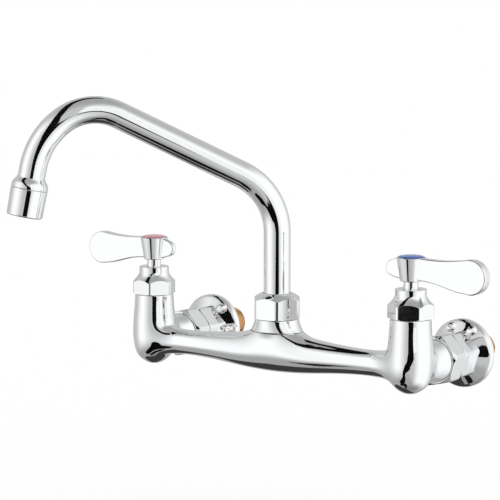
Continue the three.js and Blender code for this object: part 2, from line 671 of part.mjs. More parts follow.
function lever() {
  const blade = new THREE.ExtrudeGeometry(leverOutline(), {
    depth: LEVER_THICKNESS - 2 * LEVER_EDGE,
    curveSegments: 7,
    bevelThickness: LEVER_EDGE,
    bevelSize: LEVER_EDGE,
    bevelOffset: -LEVER_EDGE,
    bevelSegments: 1,
  });
  blade.translate(0, 0, LEVER_EDGE - LEVER_THICKNESS / 2).rotateX(Math.PI / 2);
  const hubRim = HUB_TOP_RADIUS - INDEX_RIM / 2;
  const hub = turned([
    [0, hubZ], [HUB_FOOT_RADIUS - EDGE_BREAK, hubZ], [HUB_FOOT_RADIUS, hubZ + EDGE_BREAK],
    [HUB_TOP_RADIUS, hubTopZ - EDGE_BREAK], [hubRim, hubTopZ], [0, hubTopZ],
  ], SHOWN_FACETS);
  const squareBore = STEM_SQUARE + 2 * RUN_GAP;
  return cut(
    joined(solid(blade), hub),
    rod(stemBore, hubZ - CUT_OVER, hubZ + HUB_SQUARE_START),
    block(squareBore, squareBore, hubZ, hubBoreTopZ),
    rod(SCREW_RADIUS + RUN_GAP, hubZ, hubTopZ),
    rod(indexPlugRadius + RUN_GAP, screwSeatZ, hubTopZ + CUT_OVER),
    rod(indexSeatRadius, indexSeatZ, hubTopZ + CUT_OVER));
}

function handleScrew() {
  const headTop = screwHeadZ + SCREW_HEAD_HEIGHT;
  const whole = joined(
    rod(SCREW_RADIUS, screwHeadZ - SCREW_LENGTH, screwHeadZ + EDGE_BREAK),
    rod(SCREW_HEAD_RADIUS, screwHeadZ, headTop));
  const slot = block(3 * SCREW_HEAD_RADIUS, SCREW_SLOT, headTop - SCREW_SLOT, headTop + CUT_OVER);
  return cut(whole, slot, slot.rotate([0, 0, 90]));
}

// Domed colour button with a plug that presses into the hub above the screw.
function indexButton() {
  const radius = indexSeatRadius - RUN_GAP;
  const bottom = indexSeatZ + SEAT_GAP;
  const dome = arc(0, 0, 1, 0, 90, 3).map(([x, z]) => [x * radius, hubTopZ + z * INDEX_DOME]);
  return turned([
    [0, bottom - INDEX_PLUG_HEIGHT], [indexPlugRadius, bottom - INDEX_PLUG_HEIGHT],
    [indexPlugRadius, bottom], [radius, bottom], ...dome,
  ], TUBE_FACETS);
}

// ---------------------------------------------------------------- inlet

// Hexagon with both ends chamfered.
function chamferedHexagon(flats, from, to, turn, chamfer, endRadius = flats / 2) {
  const wide = cornerRadius(flats) + CORNER_CLEAR;
  const barrel = turned([
    [0, from], [endRadius, from], [wide, from + chamfer],
    [wide, to - chamfer], [endRadius, to], [0, to],
  ], TUBE_FACETS);
  return hexagon(flats, from, to, turn).intersect(barrel);
}

function couplingNut() {
  return cut(
    chamferedHexagon(COUPLING_FLATS, couplingStart, couplingEnd, INLET_HEX_TURN, COUPLING_CHAMFER,
      COUPLING_FLATS / 2 - EDGE_BREAK),
    rod(couplingBore, couplingStart - CUT_OVER, couplingLipStart),
    rod(NOSE_RADIUS + RUN_GAP, couplingStart, couplingEnd + CUT_OVER));
}

// Open spring clip in the nose's groove, which the coupling nut pulls on.
function retainingClip() {
  const whole = sleeve(clipInnerRadius, clipOuterRadius, clipStart, clipStart + CLIP_THICKNESS);
  const gap = new THREE.Shape();
  gap.moveTo(0, 0);
  const reach = 2 * clipOuterRadius;
  for (const side of [-1, 1]) {
    const angle = rad((side * CLIP_OPENING) / 2);
    gap.lineTo(reach * Math.cos(angle), reach * Math.sin(angle));
  }
  gap.closePath();
  const wedge = new THREE.ExtrudeGeometry(gap, { depth: 4 * CLIP_THICKNESS, bevelEnabled: false });
  return cut(whole, solid(wedge.translate(0, 0, clipStart - CLIP_THICKNESS)));
}

// Nose, hexagon and a shallow cone that ends in the flange's rim.
function flangedInlet(turn) {
  const grooveEnd = clipStart + CLIP_THICKNESS + SEAT_GAP / 2;
  const grooveRadius = NOSE_RADIUS - CLIP_GROOVE_DEPTH;
  const nose = turned([
    [0, noseStart], [NOSE_RADIUS, noseStart], [NOSE_RADIUS, clipStart - SEAT_GAP / 2],
    [grooveRadius, clipStart - SEAT_GAP / 2], [grooveRadius, grooveEnd],
    [NOSE_RADIUS, grooveEnd], [NOSE_RADIUS, inletHexStart + JOIN_OVER],
    [0, inletHexStart + JOIN_OVER],
  ]);
  const hex = chamferedHexagon(INLET_HEX_FLATS, inletHexStart, flangeRimStart,
    INLET_HEX_TURN, THREAD_CHAMFER);
  const flange = turned([
    [0, flangeStart], [INLET_HEX_FLATS / 2 - EDGE_BREAK, flangeStart],
    [FLANGE_RADIUS - FLANGE_EDGE, flangeRimStart], [FLANGE_RADIUS, flangeRimStart + FLANGE_EDGE],
    [FLANGE_RADIUS, WALL_TO_BAR], [0, WALL_TO_BAR],
  ], SHOWN_FACETS);
  return cut(
    joined(nose, hex, flange),
    rod(INLET_BORE_RADIUS, noseStart - CUT_OVER, WALL_TO_BAR),
    rod(adapterBore, adapterStart - SEAT_GAP, WALL_TO_BAR + CUT_OVER),
    rod(flangeRecessRadius, WALL_TO_BAR - FLANGE_RECESS_DEPTH, WALL_TO_BAR + CUT_OVER, TUBE_FACETS),
    ...fixingHoles()).rotate([0, 0, turn]);
}

// Countersunk holes through the flange. Here +Y points down, so straight up is -Y.
function fixingHoles() {
  const headEnd = flangeRimStart + FIXING_HEAD_SINK;
  const hole = turned([
    [0, flangeStart - CUT_OVER], [FIXING_HEAD_RADIUS, flangeStart - CUT_OVER],
    [FIXING_HEAD_RADIUS, headEnd - FIXING_HEAD_DEPTH], [FIXING_HOLE_RADIUS, headEnd],
    [FIXING_HOLE_RADIUS, WALL_TO_BAR + CUT_OVER], [0, WALL_TO_BAR + CUT_OVER],
  ], HOLE_FACETS);
  return FIXING_ANGLES.map((angle) => hole.translate([
    fixingPitchRadius * Math.sin(rad(angle)), -fixingPitchRadius * Math.cos(rad(angle)), 0]));
}

function adapter() {
  const threadEnd = adapterStart + ADAPTER_THREAD_LENGTH;
  const grooveEnd = threadEnd + ADAPTER_GROOVE_LENGTH;
  const hexEnd = adapterHexStart + ADAPTER_HEX_LENGTH;
  const end = hexEnd + ADAPTER_TAPER_LENGTH;
  const floor = grooveFloor(ADAPTER_THREAD_RADIUS, ADAPTER_ORING_SECTION);
  const taperStart = hexEnd - JOIN_OVER;
  const core = turned([
    [0, adapterStart], [ADAPTER_THREAD_RADIUS - THREAD_CHAMFER, adapterStart],
    [ADAPTER_THREAD_RADIUS, adapterStart + THREAD_CHAMFER], [ADAPTER_THREAD_RADIUS, threadEnd],
    [floor, threadEnd], [floor, grooveEnd], [ADAPTER_THREAD_RADIUS, grooveEnd],
    [ADAPTER_THREAD_RADIUS, taperStart], [ADAPTER_TAPER_RADIUS, taperStart],
    [ADAPTER_END_RADIUS, end - THREAD_CHAMFER], [ADAPTER_END_RADIUS - THREAD_CHAMFER, end],
    [0, end],
  ], TUBE_FACETS);
  const hex = chamferedHexagon(ADAPTER_HEX_FLATS, adapterHexStart, hexEnd, INLET_HEX_TURN,
    THREAD_CHAMFER);
  return cut(joined(core, hex), rod(ADAPTER_BORE_RADIUS, adapterStart - CUT_OVER, end + CUT_OVER));
}

// ---------------------------------------------------------------- spout

function spoutNut() {
  const wide = cornerRadius(SPOUT_NUT_FLATS) + CORNER_CLEAR;
  const inscribed = SPOUT_NUT_FLATS / 2;
  const collar = nutTubeBore + SPOUT_NUT_COLLAR;
  const domeZ = nutTopZ - SPOUT_NUT_DOME;
  const barrel = turned([
    [0, nutStartZ], [inscribed + EDGE_BREAK, nutStartZ], [wide, nutStartZ + THREAD_CHAMFER],
    [wide, domeZ], [inscribed + THREAD_CHAMFER, domeZ + 0.3 * SPOUT_NUT_DOME],
    [inscribed - EDGE_BREAK, domeZ + 0.55 * SPOUT_NUT_DOME],
    [collar + SPOUT_NUT_COLLAR, nutTopZ - THREAD_CHAMFER],
    [collar, nutTopZ - EDGE_BREAK], [collar, nutTopZ], [0, nutTopZ],
  ], SHOWN_FACETS);
  return cut(
    hexagon(SPOUT_NUT_FLATS, nutStartZ, nutTopZ, SPOUT_NUT_TURN).intersect(barrel),
    rod(nutBore, nutStartZ - CUT_OVER, nutLipZ),
    rod(nutTubeBore, nutStartZ, nutTopZ + CUT_OVER));
}

// Turned end of the spout: O-ring spigot, shoulder under the nut and stub inside the tube.
function spoutSpigot() {
  const shoulderTop = spigotShoulderZ + SPIGOT_SHOULDER_HEIGHT;
  const stubTop = shoulderTop + SPIGOT_STUB_LENGTH;
  const whole = turned([
    [0, spigotZ], [spigotRadius - EDGE_BREAK, spigotZ], [spigotRadius, spigotZ + EDGE_BREAK],
    [spigotRadius, spigotShoulderZ], [spigotShoulderRadius, spigotShoulderZ],
    [spigotShoulderRadius, shoulderTop], [spigotStubRadius, shoulderTop],
    [spigotStubRadius, stubTop], [0, stubTop],
  ]);
  const reach = SPOUT_ORING_SECTION + RUN_GAP / 2;
  const floor = grooveFloor(spigotRadius, SPOUT_ORING_SECTION);
  const grooves = SPOUT_ORING_HEIGHTS.map((height) => sleeve(
    floor, 2 * spigotRadius, spigotZ + height - reach, spigotZ + height + reach));
  return cut(whole, rod(spigotBore, spigotZ - CUT_OVER, stubTop + CUT_OVER), ...grooves);
}

// Stations along the tube's centre line, in the plane of the spout: reach, height and pitch,
// the pitch being the angle above level of the direction of flow.
function spoutStations() {
  const stations = [{ reach: 0, height: tubeStartZ, pitch: RISER_PITCH }];
  const tangent = RISER_BEND_RADIUS * Math.tan(rad((RISER_PITCH - SPOUT_SLOPE) / 2));
  const bend = (radius, from, to, steps) => {
    const start = stations.at(-1);
    const centreReach = start.reach + radius * Math.sin(rad(from));
    const centreHeight = start.height - radius * Math.cos(rad(from));
    for (let i = 1; i <= steps; i += 1) {
      const pitch = from + ((to - from) * i) / steps;
      stations.push({
        reach: centreReach - radius * Math.sin(rad(pitch)),
        height: centreHeight + radius * Math.cos(rad(pitch)),
        pitch,
      });
    }
  };
  stations.push({ reach: 0, height: SPOUT_CORNER_HEIGHT - tangent, pitch: RISER_PITCH });
  bend(RISER_BEND_RADIUS, RISER_PITCH, SPOUT_SLOPE, BEND_STEPS[0]);
  stations.push({
    reach: SLOPE_END,
    height: SPOUT_CORNER_HEIGHT + SLOPE_END * Math.tan(rad(SPOUT_SLOPE)),
    pitch: SPOUT_SLOPE,
  });
  bend(ARCH_BEND_RADIUS, SPOUT_SLOPE, -ARCH_END_PITCH, BEND_STEPS[1]);
  bend(DROP_BEND_RADIUS, -ARCH_END_PITCH, -TIP_PITCH, BEND_STEPS[2]);
  const last = stations.at(-1);
  stations.push({
    reach: last.reach + TIP_STRAIGHT * Math.cos(rad(TIP_PITCH)),
    height: last.height - TIP_STRAIGHT * Math.sin(rad(TIP_PITCH)),
    pitch: -TIP_PITCH,
  });
  return stations;
}

// The tube's centre line as a curve with one section at each station. The spout points to -Y.
class StationCurve extends THREE.Curve {
  constructor(stations) {
    super();
    this.stations = stations;
  }

  station(t) {
    return this.stations[Math.round(t * (this.stations.length - 1))];
  }

  getPoint(t, target = new THREE.Vector3()) {
    const { reach, height } = this.station(t);
    return target.set(0, -reach, height);
  }

  getTangent(t, target = new THREE.Vector3()) {
    const { pitch } = this.station(t);
    return target.set(0, -Math.cos(rad(pitch)), Math.sin(rad(pitch)));
  }

  getUtoTmapping(u) {
    return u;
  }
}

function spoutTube() {
  const path = new StationCurve(spoutStations());
  const steps = path.stations.length - 1;
  const swept = (radius, facets) => {
    const section = new THREE.Shape().absarc(0, 0, radius, 0, TAU, false);
    const curveSegments = facets / 2; // a full turn has two facets for each
    return solid(new THREE.ExtrudeGeometry(section, { steps, extrudePath: path, curveSegments }));
  };
  return cut(swept(TUBE_RADIUS, TUBE_FACETS), swept(tubeBore, TUBE_FACETS / 2));
}

// ---------------------------------------------------------------- aerator, along +Z with the flow

function spoutTip() {
  const whole = turned([
    [0, -TIP_CONE_LENGTH], [TUBE_RADIUS + RUN_GAP + TIP_CONE_START, -TIP_CONE_LENGTH],
    [TIP_RADIUS, SEAT_GAP], [TIP_THREAD_RADIUS, SEAT_GAP], [TIP_THREAD_RADIUS, tipThreadEnd],
    [0, tipThreadEnd],
  ], TUBE_FACETS);
  return cut(
    whole,
    rod(TUBE_RADIUS + RUN_GAP, -TIP_CONE_LENGTH - CUT_OVER, 0, TUBE_FACETS),
    rod(tubeBore, -TIP_CONE_LENGTH, tipThreadEnd + CUT_OVER));
}

function aeratorShell() {
  const lipStart = aeratorEnd - AERATOR_LIP_HEIGHT;
  const whole = turned([
    [0, aeratorStart], [AERATOR_TOP_RADIUS - EDGE_BREAK, aeratorStart],
    [AERATOR_TOP_RADIUS, aeratorStart + EDGE_BREAK], [AERATOR_FOOT_RADIUS, aeratorEnd - EDGE_BREAK],
    [AERATOR_FOOT_RADIUS - EDGE_BREAK, aeratorEnd], [0, aeratorEnd],
  ], TUBE_FACETS);
  return cut(
    whole,
    rod(aeratorBore, aeratorStart - CUT_OVER, lipStart),
    rod(aeratorBore - AERATOR_LIP, lipStart - CUT_OVER, aeratorEnd + CUT_OVER));
}

function aeratorInsert() {
  const flangeEnd = insertStart + AERATOR_INSERT_FLANGE;
  const whole = joined(
    rod(aeratorBore - RUN_GAP, insertStart, flangeEnd),
    rod(insertBodyRadius, flangeEnd - EDGE_BREAK, insertEnd));
  const hole = rod(AERATOR_HOLE_RADIUS, insertStart - CUT_OVER, insertEnd + CUT_OVER, 6);
  const holes = [hole];
  for (let i = 0; i < AERATOR_HOLES; i += 1) {
    const angle = (TAU * i) / AERATOR_HOLES;
    const reach = AERATOR_HOLE_PITCH;
    holes.push(hole.translate([reach * Math.cos(angle), reach * Math.sin(angle), 0]));
  }
  return cut(whole, ...holes);
}

// Strainer in front of the insert, inside the washer.
function aeratorScreen() {
  const end = insertStart - SEAT_GAP;
  const start = end - SCREEN_THICKNESS;
  const hole = block(SCREEN_HOLE, SCREEN_HOLE, start - CUT_OVER, end + CUT_OVER);
  const holes = [];
  const middle = (SCREEN_HOLES - 1) / 2;
  for (let i = 0; i < SCREEN_HOLES; i += 1) {
    for (let j = 0; j < SCREEN_HOLES; j += 1) {
      holes.push(hole.translate([(i - middle) * SCREEN_PITCH, (j - middle) * SCREEN_PITCH, 0]));
    }
  }
  return cut(rod(washerBore - RUN_GAP, start, end), ...holes);
}

// ---------------------------------------------------------------- assembly

function valveSet(side, x, bonnetTurn, indexMaterial, leverTurn) {
  const name = (part) => `${side}_${part}`;
  const fixed = group(
    piece(name('bonnet'), bonnet(bonnetTurn), CHROME),
    piece(name('bonnet_oring'), oring(bonnetThreadRadius, BONNET_ORING_SECTION, bonnetOringZ), RUBBER),
    piece(name('cartridge_body'), cartridgeBody(), BRASS),
    piece(name('fixed_disc'), fixedDisc(), CERAMIC),
    piece(name('seat_seal'),
      sleeve(SEAT_PORT_RADIUS, cartridgeRadius, seatSealZ, seatSealZ + SEAT_SEAL_THICKNESS), RUBBER));
  const turning = group(
    piece(name('moving_disc'), movingDisc(), CERAMIC),
    piece(name('stem'), stem(), CHROME),
    piece(name('stem_oring'), oring(STEM_RADIUS, STEM_ORING_SECTION, stemOringZ), RUBBER),
    piece(name('lever'), lever(), CHROME),
    piece(name('handle_screw'), handleScrew(), STEEL),
    piece(name('index_button'), indexButton(), indexMaterial));
  turning.rotation.z = leverTurn;
  const whole = group(fixed, turning);
  whole.position.set(x, -WALL_TO_BAR, 0);
  return whole;
}

// Built along +Z from the valve's axis and laid towards the wall.
function inletSet(side, x, turn) {
  const name = (part) => `${side}_${part}`;
  const adapterRingZ = adapterStart + ADAPTER_THREAD_LENGTH + ADAPTER_GROOVE_LENGTH / 2;
  const whole = group(
    piece(name('coupling_nut'), couplingNut(), CHROME),
    piece(name('union_washer'), sleeve(ARM_BORE_RADIUS, UNION_THREAD_RADIUS - RUN_GAP,
      unionWasherStart, unionWasherStart + UNION_WASHER_THICKNESS), RUBBER),
    piece(name('retaining_clip'), retainingClip(), STEEL),
    piece(name('flanged_inlet'), flangedInlet(turn), CHROME),
    piece(name('adapter'), adapter(), BRASS),
    piece(name('adapter_oring'),
      oring(ADAPTER_THREAD_RADIUS, ADAPTER_ORING_SECTION, adapterRingZ), RUBBER));
  whole.position.set(x, -WALL_TO_BAR, 0);
  whole.rotation.x = -Math.PI / 2;
  return whole;
}

function aeratorSet() {
  const end = spoutStations().at(-1);
  const whole = group(
    piece('spout_tip', spoutTip(), CHROME),
    piece('aerator_shell', aeratorShell(), CHROME),
    piece('aerator_washer', sleeve(washerBore, aeratorBore - RUN_GAP,
      aeratorWasherStart, aeratorWasherStart + AERATOR_WASHER_THICKNESS), RUBBER),
    piece('aerator_screen', aeratorScreen(), STEEL),
    piece('aerator_insert', aeratorInsert(), ACETAL));
  whole.position.set(0, -end.reach, end.height);
  whole.rotation.x = Math.PI / 2 + rad(TIP_PITCH);
  return whole;
}

function spoutSet() {
  const orings = ['lower', 'upper'].map((which, i) => piece(`spout_oring_${which}`,
    oring(spigotRadius, SPOUT_ORING_SECTION, spigotZ + SPOUT_ORING_HEIGHTS[i]), RUBBER));
  const swinging = group(
    piece('spout_tube', spoutTube(), CHROME),
    piece('spout_spigot', spoutSpigot(), BRASS),
    ...orings,
    aeratorSet());
  swinging.rotation.z = rad(-SPOUT_REST_SWING);
  const whole = group(
    piece('spout_nut', spoutNut(), CHROME),
    piece('spout_glide_ring', sleeve(nutTubeBore, spigotShoulderRadius,
      glideRingZ, glideRingZ + GLIDE_RING_THICKNESS), ACETAL),
    swinging);
  whole.position.set(0, -WALL_TO_BAR, 0);
  return whole;
}

function faucet() {
  const bodyPiece = piece('body', body(), CHROME);
  bodyPiece.position.set(0, -WALL_TO_BAR, 0);
  return group(
    bodyPiece,
    valveSet('hot', -valveX, HOT_BONNET_TURN, HOT_PLASTIC, Math.PI),
    valveSet('cold', valveX, COLD_BONNET_TURN, COLD_PLASTIC, 0),
    inletSet('hot', -valveX, HOT_INLET_TURN),
    inletSet('cold', valveX, 0),
    spoutSet());
}

export default faucet();
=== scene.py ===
import math

import bmesh
import bpy
from bpy.props import FloatProperty, FloatVectorProperty, PointerProperty
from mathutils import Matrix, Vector


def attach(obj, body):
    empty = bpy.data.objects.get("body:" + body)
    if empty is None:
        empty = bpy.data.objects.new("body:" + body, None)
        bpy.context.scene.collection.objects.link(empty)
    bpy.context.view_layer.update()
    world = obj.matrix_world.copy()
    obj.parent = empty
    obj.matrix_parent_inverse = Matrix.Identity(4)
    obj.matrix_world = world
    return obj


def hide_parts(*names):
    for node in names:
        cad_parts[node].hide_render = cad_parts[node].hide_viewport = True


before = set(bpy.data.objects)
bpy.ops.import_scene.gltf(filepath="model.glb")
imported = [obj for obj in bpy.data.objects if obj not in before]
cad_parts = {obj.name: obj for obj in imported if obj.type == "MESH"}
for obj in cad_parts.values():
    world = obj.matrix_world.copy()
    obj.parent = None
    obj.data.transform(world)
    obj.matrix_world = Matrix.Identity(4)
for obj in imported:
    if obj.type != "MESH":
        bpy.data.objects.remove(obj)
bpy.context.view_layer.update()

bl_info = {
    "name": "Commercial Wall Faucet",
    "version": (1, 0, 0),
    "blender": (4, 5, 0),
    "location": "View3D > Sidebar > Faucet",
    "description": "Chrome wall faucet with two lever handles and a swivel spout",
    "category": "Object",
}

MM = 0.001
SIDES = 96  # round a turned piece
X, Y, Z = Vector((1, 0, 0)), Vector((0, 1, 0)), Vector((0, 0, 1))
# An eight-sided cage is drawn this much wider than the smooth tube it becomes.
CAGE = 6 / (4 + 2 * math.cos(math.pi / 4))
PRISM_DEPTH = 0.3  # of a hexagonal cutter, longer than any piece


def linear(code):
    """Linear colour of an sRGB hex value."""
    parts = [int(code[i:i + 2], 16) / 255 for i in (1, 3, 5)]
    return [p / 12.92 if p <= 0.04045 else ((p + 0.055) / 1.055) ** 2.4 for p in parts]


def length(name, description, millimetres):
    return FloatProperty(name=name, description=description, default=millimetres * MM,
                         unit="LENGTH", precision=5)


def colour(name, description, code):
    return FloatVectorProperty(name=name, description=description, default=linear(code),
                               subtype="COLOR", size=3, min=0, max=1)


class FaucetSizes(bpy.types.PropertyGroup):
    """Sizes of the faucet that a user would change."""
    valve_offset: length("Valve offset", "Middle of the faucet to each valve", 101.6)
    bar_depth: length("Bar depth", "Wall plane to the bar's axis", 69.7)
    bar_radius: length("Bar radius", "Radius of the bar beside the valves", 8.2)
    bar_middle: length("Bar middle", "Radius of the bar under the spout", 13.2)
    valve_radius: length("Valve radius", "Radius at the top of a valve housing", 13.2)
    valve_swell: length("Valve swell", "Widest radius of a valve housing", 14.7)
    valve_height: length("Valve height", "Bar axis to the top of a housing", 31.2)
    valve_depth: length("Valve depth", "Bar axis down to a housing's foot", 16.9)
    arm_radius: length("Arm radius", "Radius of an inlet arm at its end", 14.2)
    arm_length: length("Arm length", "Valve axis to the end of an arm", 28.5)
    boss_radius: length("Boss radius", "Radius of the boss under the spout", 14.6)
    boss_height: length("Boss height", "Bar axis to the boss's shoulder", 22.7)
    tube_radius: length("Tube radius", "Outside radius of the spout's tube", 8.81)
    tube_wall: length("Tube wall", "Wall of the spout's tube", 1.2)
    lever_thickness: length("Lever thickness", "Thickness of a lever's blade", 7.0)


class FaucetFinish(bpy.types.PropertyGroup):
    """Colours of the faucet's finishes."""
    chrome: colour("Chrome", "Polished chrome plate", "#f3f4f5")
    brass: colour("Brass", "Bare turned brass", "#efc08a")
    hot: colour("Hot", "Enamel of the hot index", "#d98f9b")
    cold: colour("Cold", "Enamel of the cold index", "#2f5fb4")


def sizes():
    return bpy.context.scene.faucet_sizes


def finish_colours():
    return bpy.context.scene.faucet_finish


def both_sides():
    """Name of each side and the place of its valve along X."""
    offset = sizes().valve_offset
    return ("hot", -offset), ("cold", offset)


# ---------------------------------------------------------------- modelling

def deselect():
    if bpy.context.mode != "OBJECT":
        bpy.ops.object.mode_set(mode="OBJECT")
    bpy.ops.object.select_all(action="DESELECT")


def take(piece):
    """Makes a piece the only one selected."""
    deselect()
    piece.select_set(True)
    bpy.context.view_layer.objects.active = piece


def pick(kind, test):
    """Selects the verts, edges or faces of the mesh in hand that pass a test."""
    bpy.ops.mesh.select_mode(type={"verts": "VERT", "edges": "EDGE", "faces": "FACE"}[kind])
    bpy.ops.mesh.select_all(action="DESELECT")
    data = bpy.context.object.data
    mesh = bmesh.from_edit_mesh(data)
    for item in getattr(mesh, kind):
        item.select_set(bool(test(item)))
    mesh.select_flush_mode()
    bmesh.update_edit_mesh(data)


def centre_of(item):
    return sum((v.co for v in item.verts), Vector()) / len(item.verts)


def draw_out(axis, centre, steps):
    """Extrudes the selected ring along an axis through (distance, radius) steps."""
    for (here, radius), (there, wider) in zip(steps, steps[1:]):
        bpy.ops.mesh.extrude_edges_move(TRANSFORM_OT_translate={"value": axis * (there - here)})
        scale = wider / radius
        bpy.ops.transform.resize(value=[1 if a else scale for a in axis],
                                 center_override=Vector(centre) + axis * there)


def close_up():
    """Merges doubles, caps open ends and turns every face outwards."""
    bpy.ops.mesh.select_mode(type="VERT")
    bpy.ops.mesh.select_all(action="SELECT")
    bpy.ops.mesh.remove_doubles(threshold=1e-7)
    bpy.ops.mesh.fill_holes(sides=0)
    bpy.ops.mesh.normals_make_consistent(inside=False)


def turned(name, profile, sides=SIDES):
    """Turns a piece about Z from (height, radius) points in millimetres. An open profile is
    capped at both ends, and one whose last point repeats its first closes on itself."""
    steps = [(height * MM, radius * MM) for height, radius in profile]
    deselect()
    bpy.ops.mesh.primitive_circle_add(vertices=sides, radius=steps[0][1])
    piece = bpy.context.object
    piece.name = name
    bpy.ops.object.mode_set(mode="EDIT")
    bpy.ops.transform.translate(value=Z * steps[0][0])
    draw_out(Z, (0, 0, 0), steps)
    close_up()
    bpy.ops.object.mode_set(mode="OBJECT")
    return piece


def add_modifier(piece, kind, **settings):
    take(piece)
    modifier = piece.modifiers.new(kind.title(), kind)
    for key, value in settings.items():
        setattr(modifier, key, value)
    bpy.ops.object.modifier_apply(modifier=modifier.name)


def combine(piece, other, operation):
    """Joins another solid to a piece, or cuts it away, and removes the other."""
    add_modifier(piece, "BOOLEAN", object=other, operation=operation, solver="EXACT")
    bpy.data.objects.remove(other)
    return piece


def lay(piece, at=(0, 0, 0), turn=(0, 0, 0)):
    """Moves a piece to its place and puts the place in its mesh."""
    take(piece)
    piece.location = at
    piece.rotation_euler = turn
    bpy.ops.object.transform_apply(location=True, rotation=True, scale=True)
    return piece


def hexed(piece, flats, turn, corner):
    """Cuts six flats on a turned piece, the first facing along X at a turn of 0, and leaves
    round corners between them."""
    deselect()
    bpy.ops.mesh.primitive_cylinder_add(vertices=6, radius=flats * MM / math.sqrt(3),
                                        depth=PRISM_DEPTH)
    prism = bpy.context.object
    bpy.ops.object.mode_set(mode="EDIT")
    pick("edges", lambda e: abs((e.verts[0].co - e.verts[1].co).z) > PRISM_DEPTH / 2)
    bpy.ops.mesh.bevel(offset=corner * MM, segments=6, affect="EDGES")
    bpy.ops.object.mode_set(mode="OBJECT")
    lay(prism, turn=(0, 0, math.radians(turn)))
    return combine(piece, prism, "INTERSECT")


def copy_of(piece, name):
    twin = piece.copy()
    twin.data = piece.data.copy()
    twin.name = name
    bpy.context.scene.collection.objects.link(twin)
    return twin


def seat(piece, material, body, nodes, edge=0.0, smooth=32):
    """Softens a piece's edges, shades it and puts it in the place of CAD nodes."""
    if edge:
        add_modifier(piece, "BEVEL", width=edge * MM, segments=3, limit_method="ANGLE",
                     angle_limit=math.radians(smooth), use_clamp_overlap=True)
    take(piece)
    bpy.ops.object.shade_smooth_by_angle(angle=math.radians(smooth))
    add_modifier(piece, "WEIGHTED_NORMAL", keep_sharp=True, weight=50)
    piece.data.materials.clear()
    piece.data.materials.append(material)
    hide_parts(*nodes)
    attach(piece, body)


def arc(centre, radius, start, end, count):
    """Points of an arc, angles in degrees."""
    points = []
    for i in range(count + 1):
        angle = math.radians(start + (end - start) * i / count)
        points.append((centre[0] + radius * math.cos(angle), centre[1] + radius * math.sin(angle)))
    return points


def bezier(points, count):
    """Points along a cubic curve, without its first."""
    a, b, c, d = [Vector(p) for p in points]
    curve = []
    for i in range(1, count + 1):
        t = i / count
        curve.append(tuple(a * (1 - t) ** 3 + 3 * b * t * (1 - t) ** 2
                           + 3 * c * t * t * (1 - t) + d * t ** 3))
    return curve


# ---------------------------------------------------------------- finishes

def add_node(tree, kind, links=(), **settings):
    """Adds a shader node with its settings and (input, output socket) links."""
    node = tree.nodes.new(kind)
    for key, value in settings.items():
        if hasattr(node, key):
            setattr(node, key, value)
        else:
            node.inputs[key.replace("_", " ")].default_value = value
    for name, socket in links:
        tree.links.new(socket, node.inputs[name])
    return node


def start_finish(name, rgb, metallic, roughness):
    material = bpy.data.materials.new(name)
    material.use_nodes = True
    tree = material.node_tree
    shader = tree.nodes["Principled BSDF"]
    shader.inputs["Base Color"].default_value = (*rgb, 1)
    shader.inputs["Metallic"].default_value = metallic
    shader.inputs["Roughness"].default_value = roughness
    return material, tree, shader


def varied(tree, shader, patch, low, high):
    """Roughness that wanders between two values over patches of a size. Returns the piece's
    coordinates, for other patterns."""
    place = add_node(tree, "ShaderNodeTexCoord").outputs["Object"]
    noise = add_node(tree, "ShaderNodeTexNoise", [("Vector", place)], Scale=1 / patch, Detail=3.0)
    span = add_node(tree, "ShaderNodeMapRange", [("Value", noise.outputs[0])], To_Min=low,
                    To_Max=high)
    tree.links.new(span.outputs[0], shader.inputs["Roughness"])
    return place


def polished_chrome():
    """Chromium plate over nickel on buffed brass: a mirror with faint buffing haze."""
    material, tree, shader = start_finish("polished_chrome", finish_colours().chrome, 1, 0.04)
    varied(tree, shader, 14 * MM, 0.025, 0.06)
    return material


def turned_brass(name, axis):
    """Bare brass off the lathe: yellow metal with fine tool lines round its axis."""
    material, tree, shader = start_finish(name, finish_colours().brass, 1, 0.28)
    place = varied(tree, shader, 4 * MM, 0.2, 0.38)
    # A wave's period is pi / 10 of its scale's inverse; the cutter's feed is 0.3 mm a turn.
    lines = add_node(tree, "ShaderNodeTexWave", [("Vector", place)], bands_direction=axis,
                     Scale=math.pi / 10 / (0.3 * MM), Distortion=0.6, Detail=1.0)
    bump = add_node(tree, "ShaderNodeBump", [("Height", lines.outputs[1])], Strength=0.15,
                    Distance=0.01 * MM)
    tree.links.new(bump.outputs[0], shader.inputs["Normal"])
    return material


def rubber():
    """Black nitrile rubber, moulded and dull."""
    material, tree, shader = start_finish("black_rubber", linear("#1b1b1c"), 0, 0.7)
    varied(tree, shader, 2 * MM, 0.55, 0.8)
    return material


def brushed_steel():
    """Stainless steel wire and punched sheet with a brushed face."""
    material, tree, shader = start_finish("brushed_steel", linear("#c3c5c7"), 1, 0.35)
    varied(tree, shader, 1 * MM, 0.28, 0.45)
    return material


def lapped_ceramic():
    """Alumina ceramic, lapped to a satin gloss."""
    material, tree, shader = start_finish("lapped_ceramic", linear("#f0ede4"), 0, 0.25)
    varied(tree, shader, 1 * MM, 0.18, 0.3)
    return material


def moulded_acetal():
    """Natural acetal, moulded, with a waxy sheen."""
    material, tree, shader = start_finish("moulded_acetal", linear("#e6e6e1"), 0, 0.45)
    varied(tree, shader, 3 * MM, 0.38, 0.52)
    return material


ENAMEL_HEIGHT = 70.5 * MM  # of the enamel's face over the bar's axis
SHADED_RIM = (6.2 * MM, 8.4 * MM)  # radii between which the enamel is painted darker, a painted shade at its rim
RIM_SHADE_SHARE = 0.72  # of the enamel's colour that is left at its rim, where shade is painted
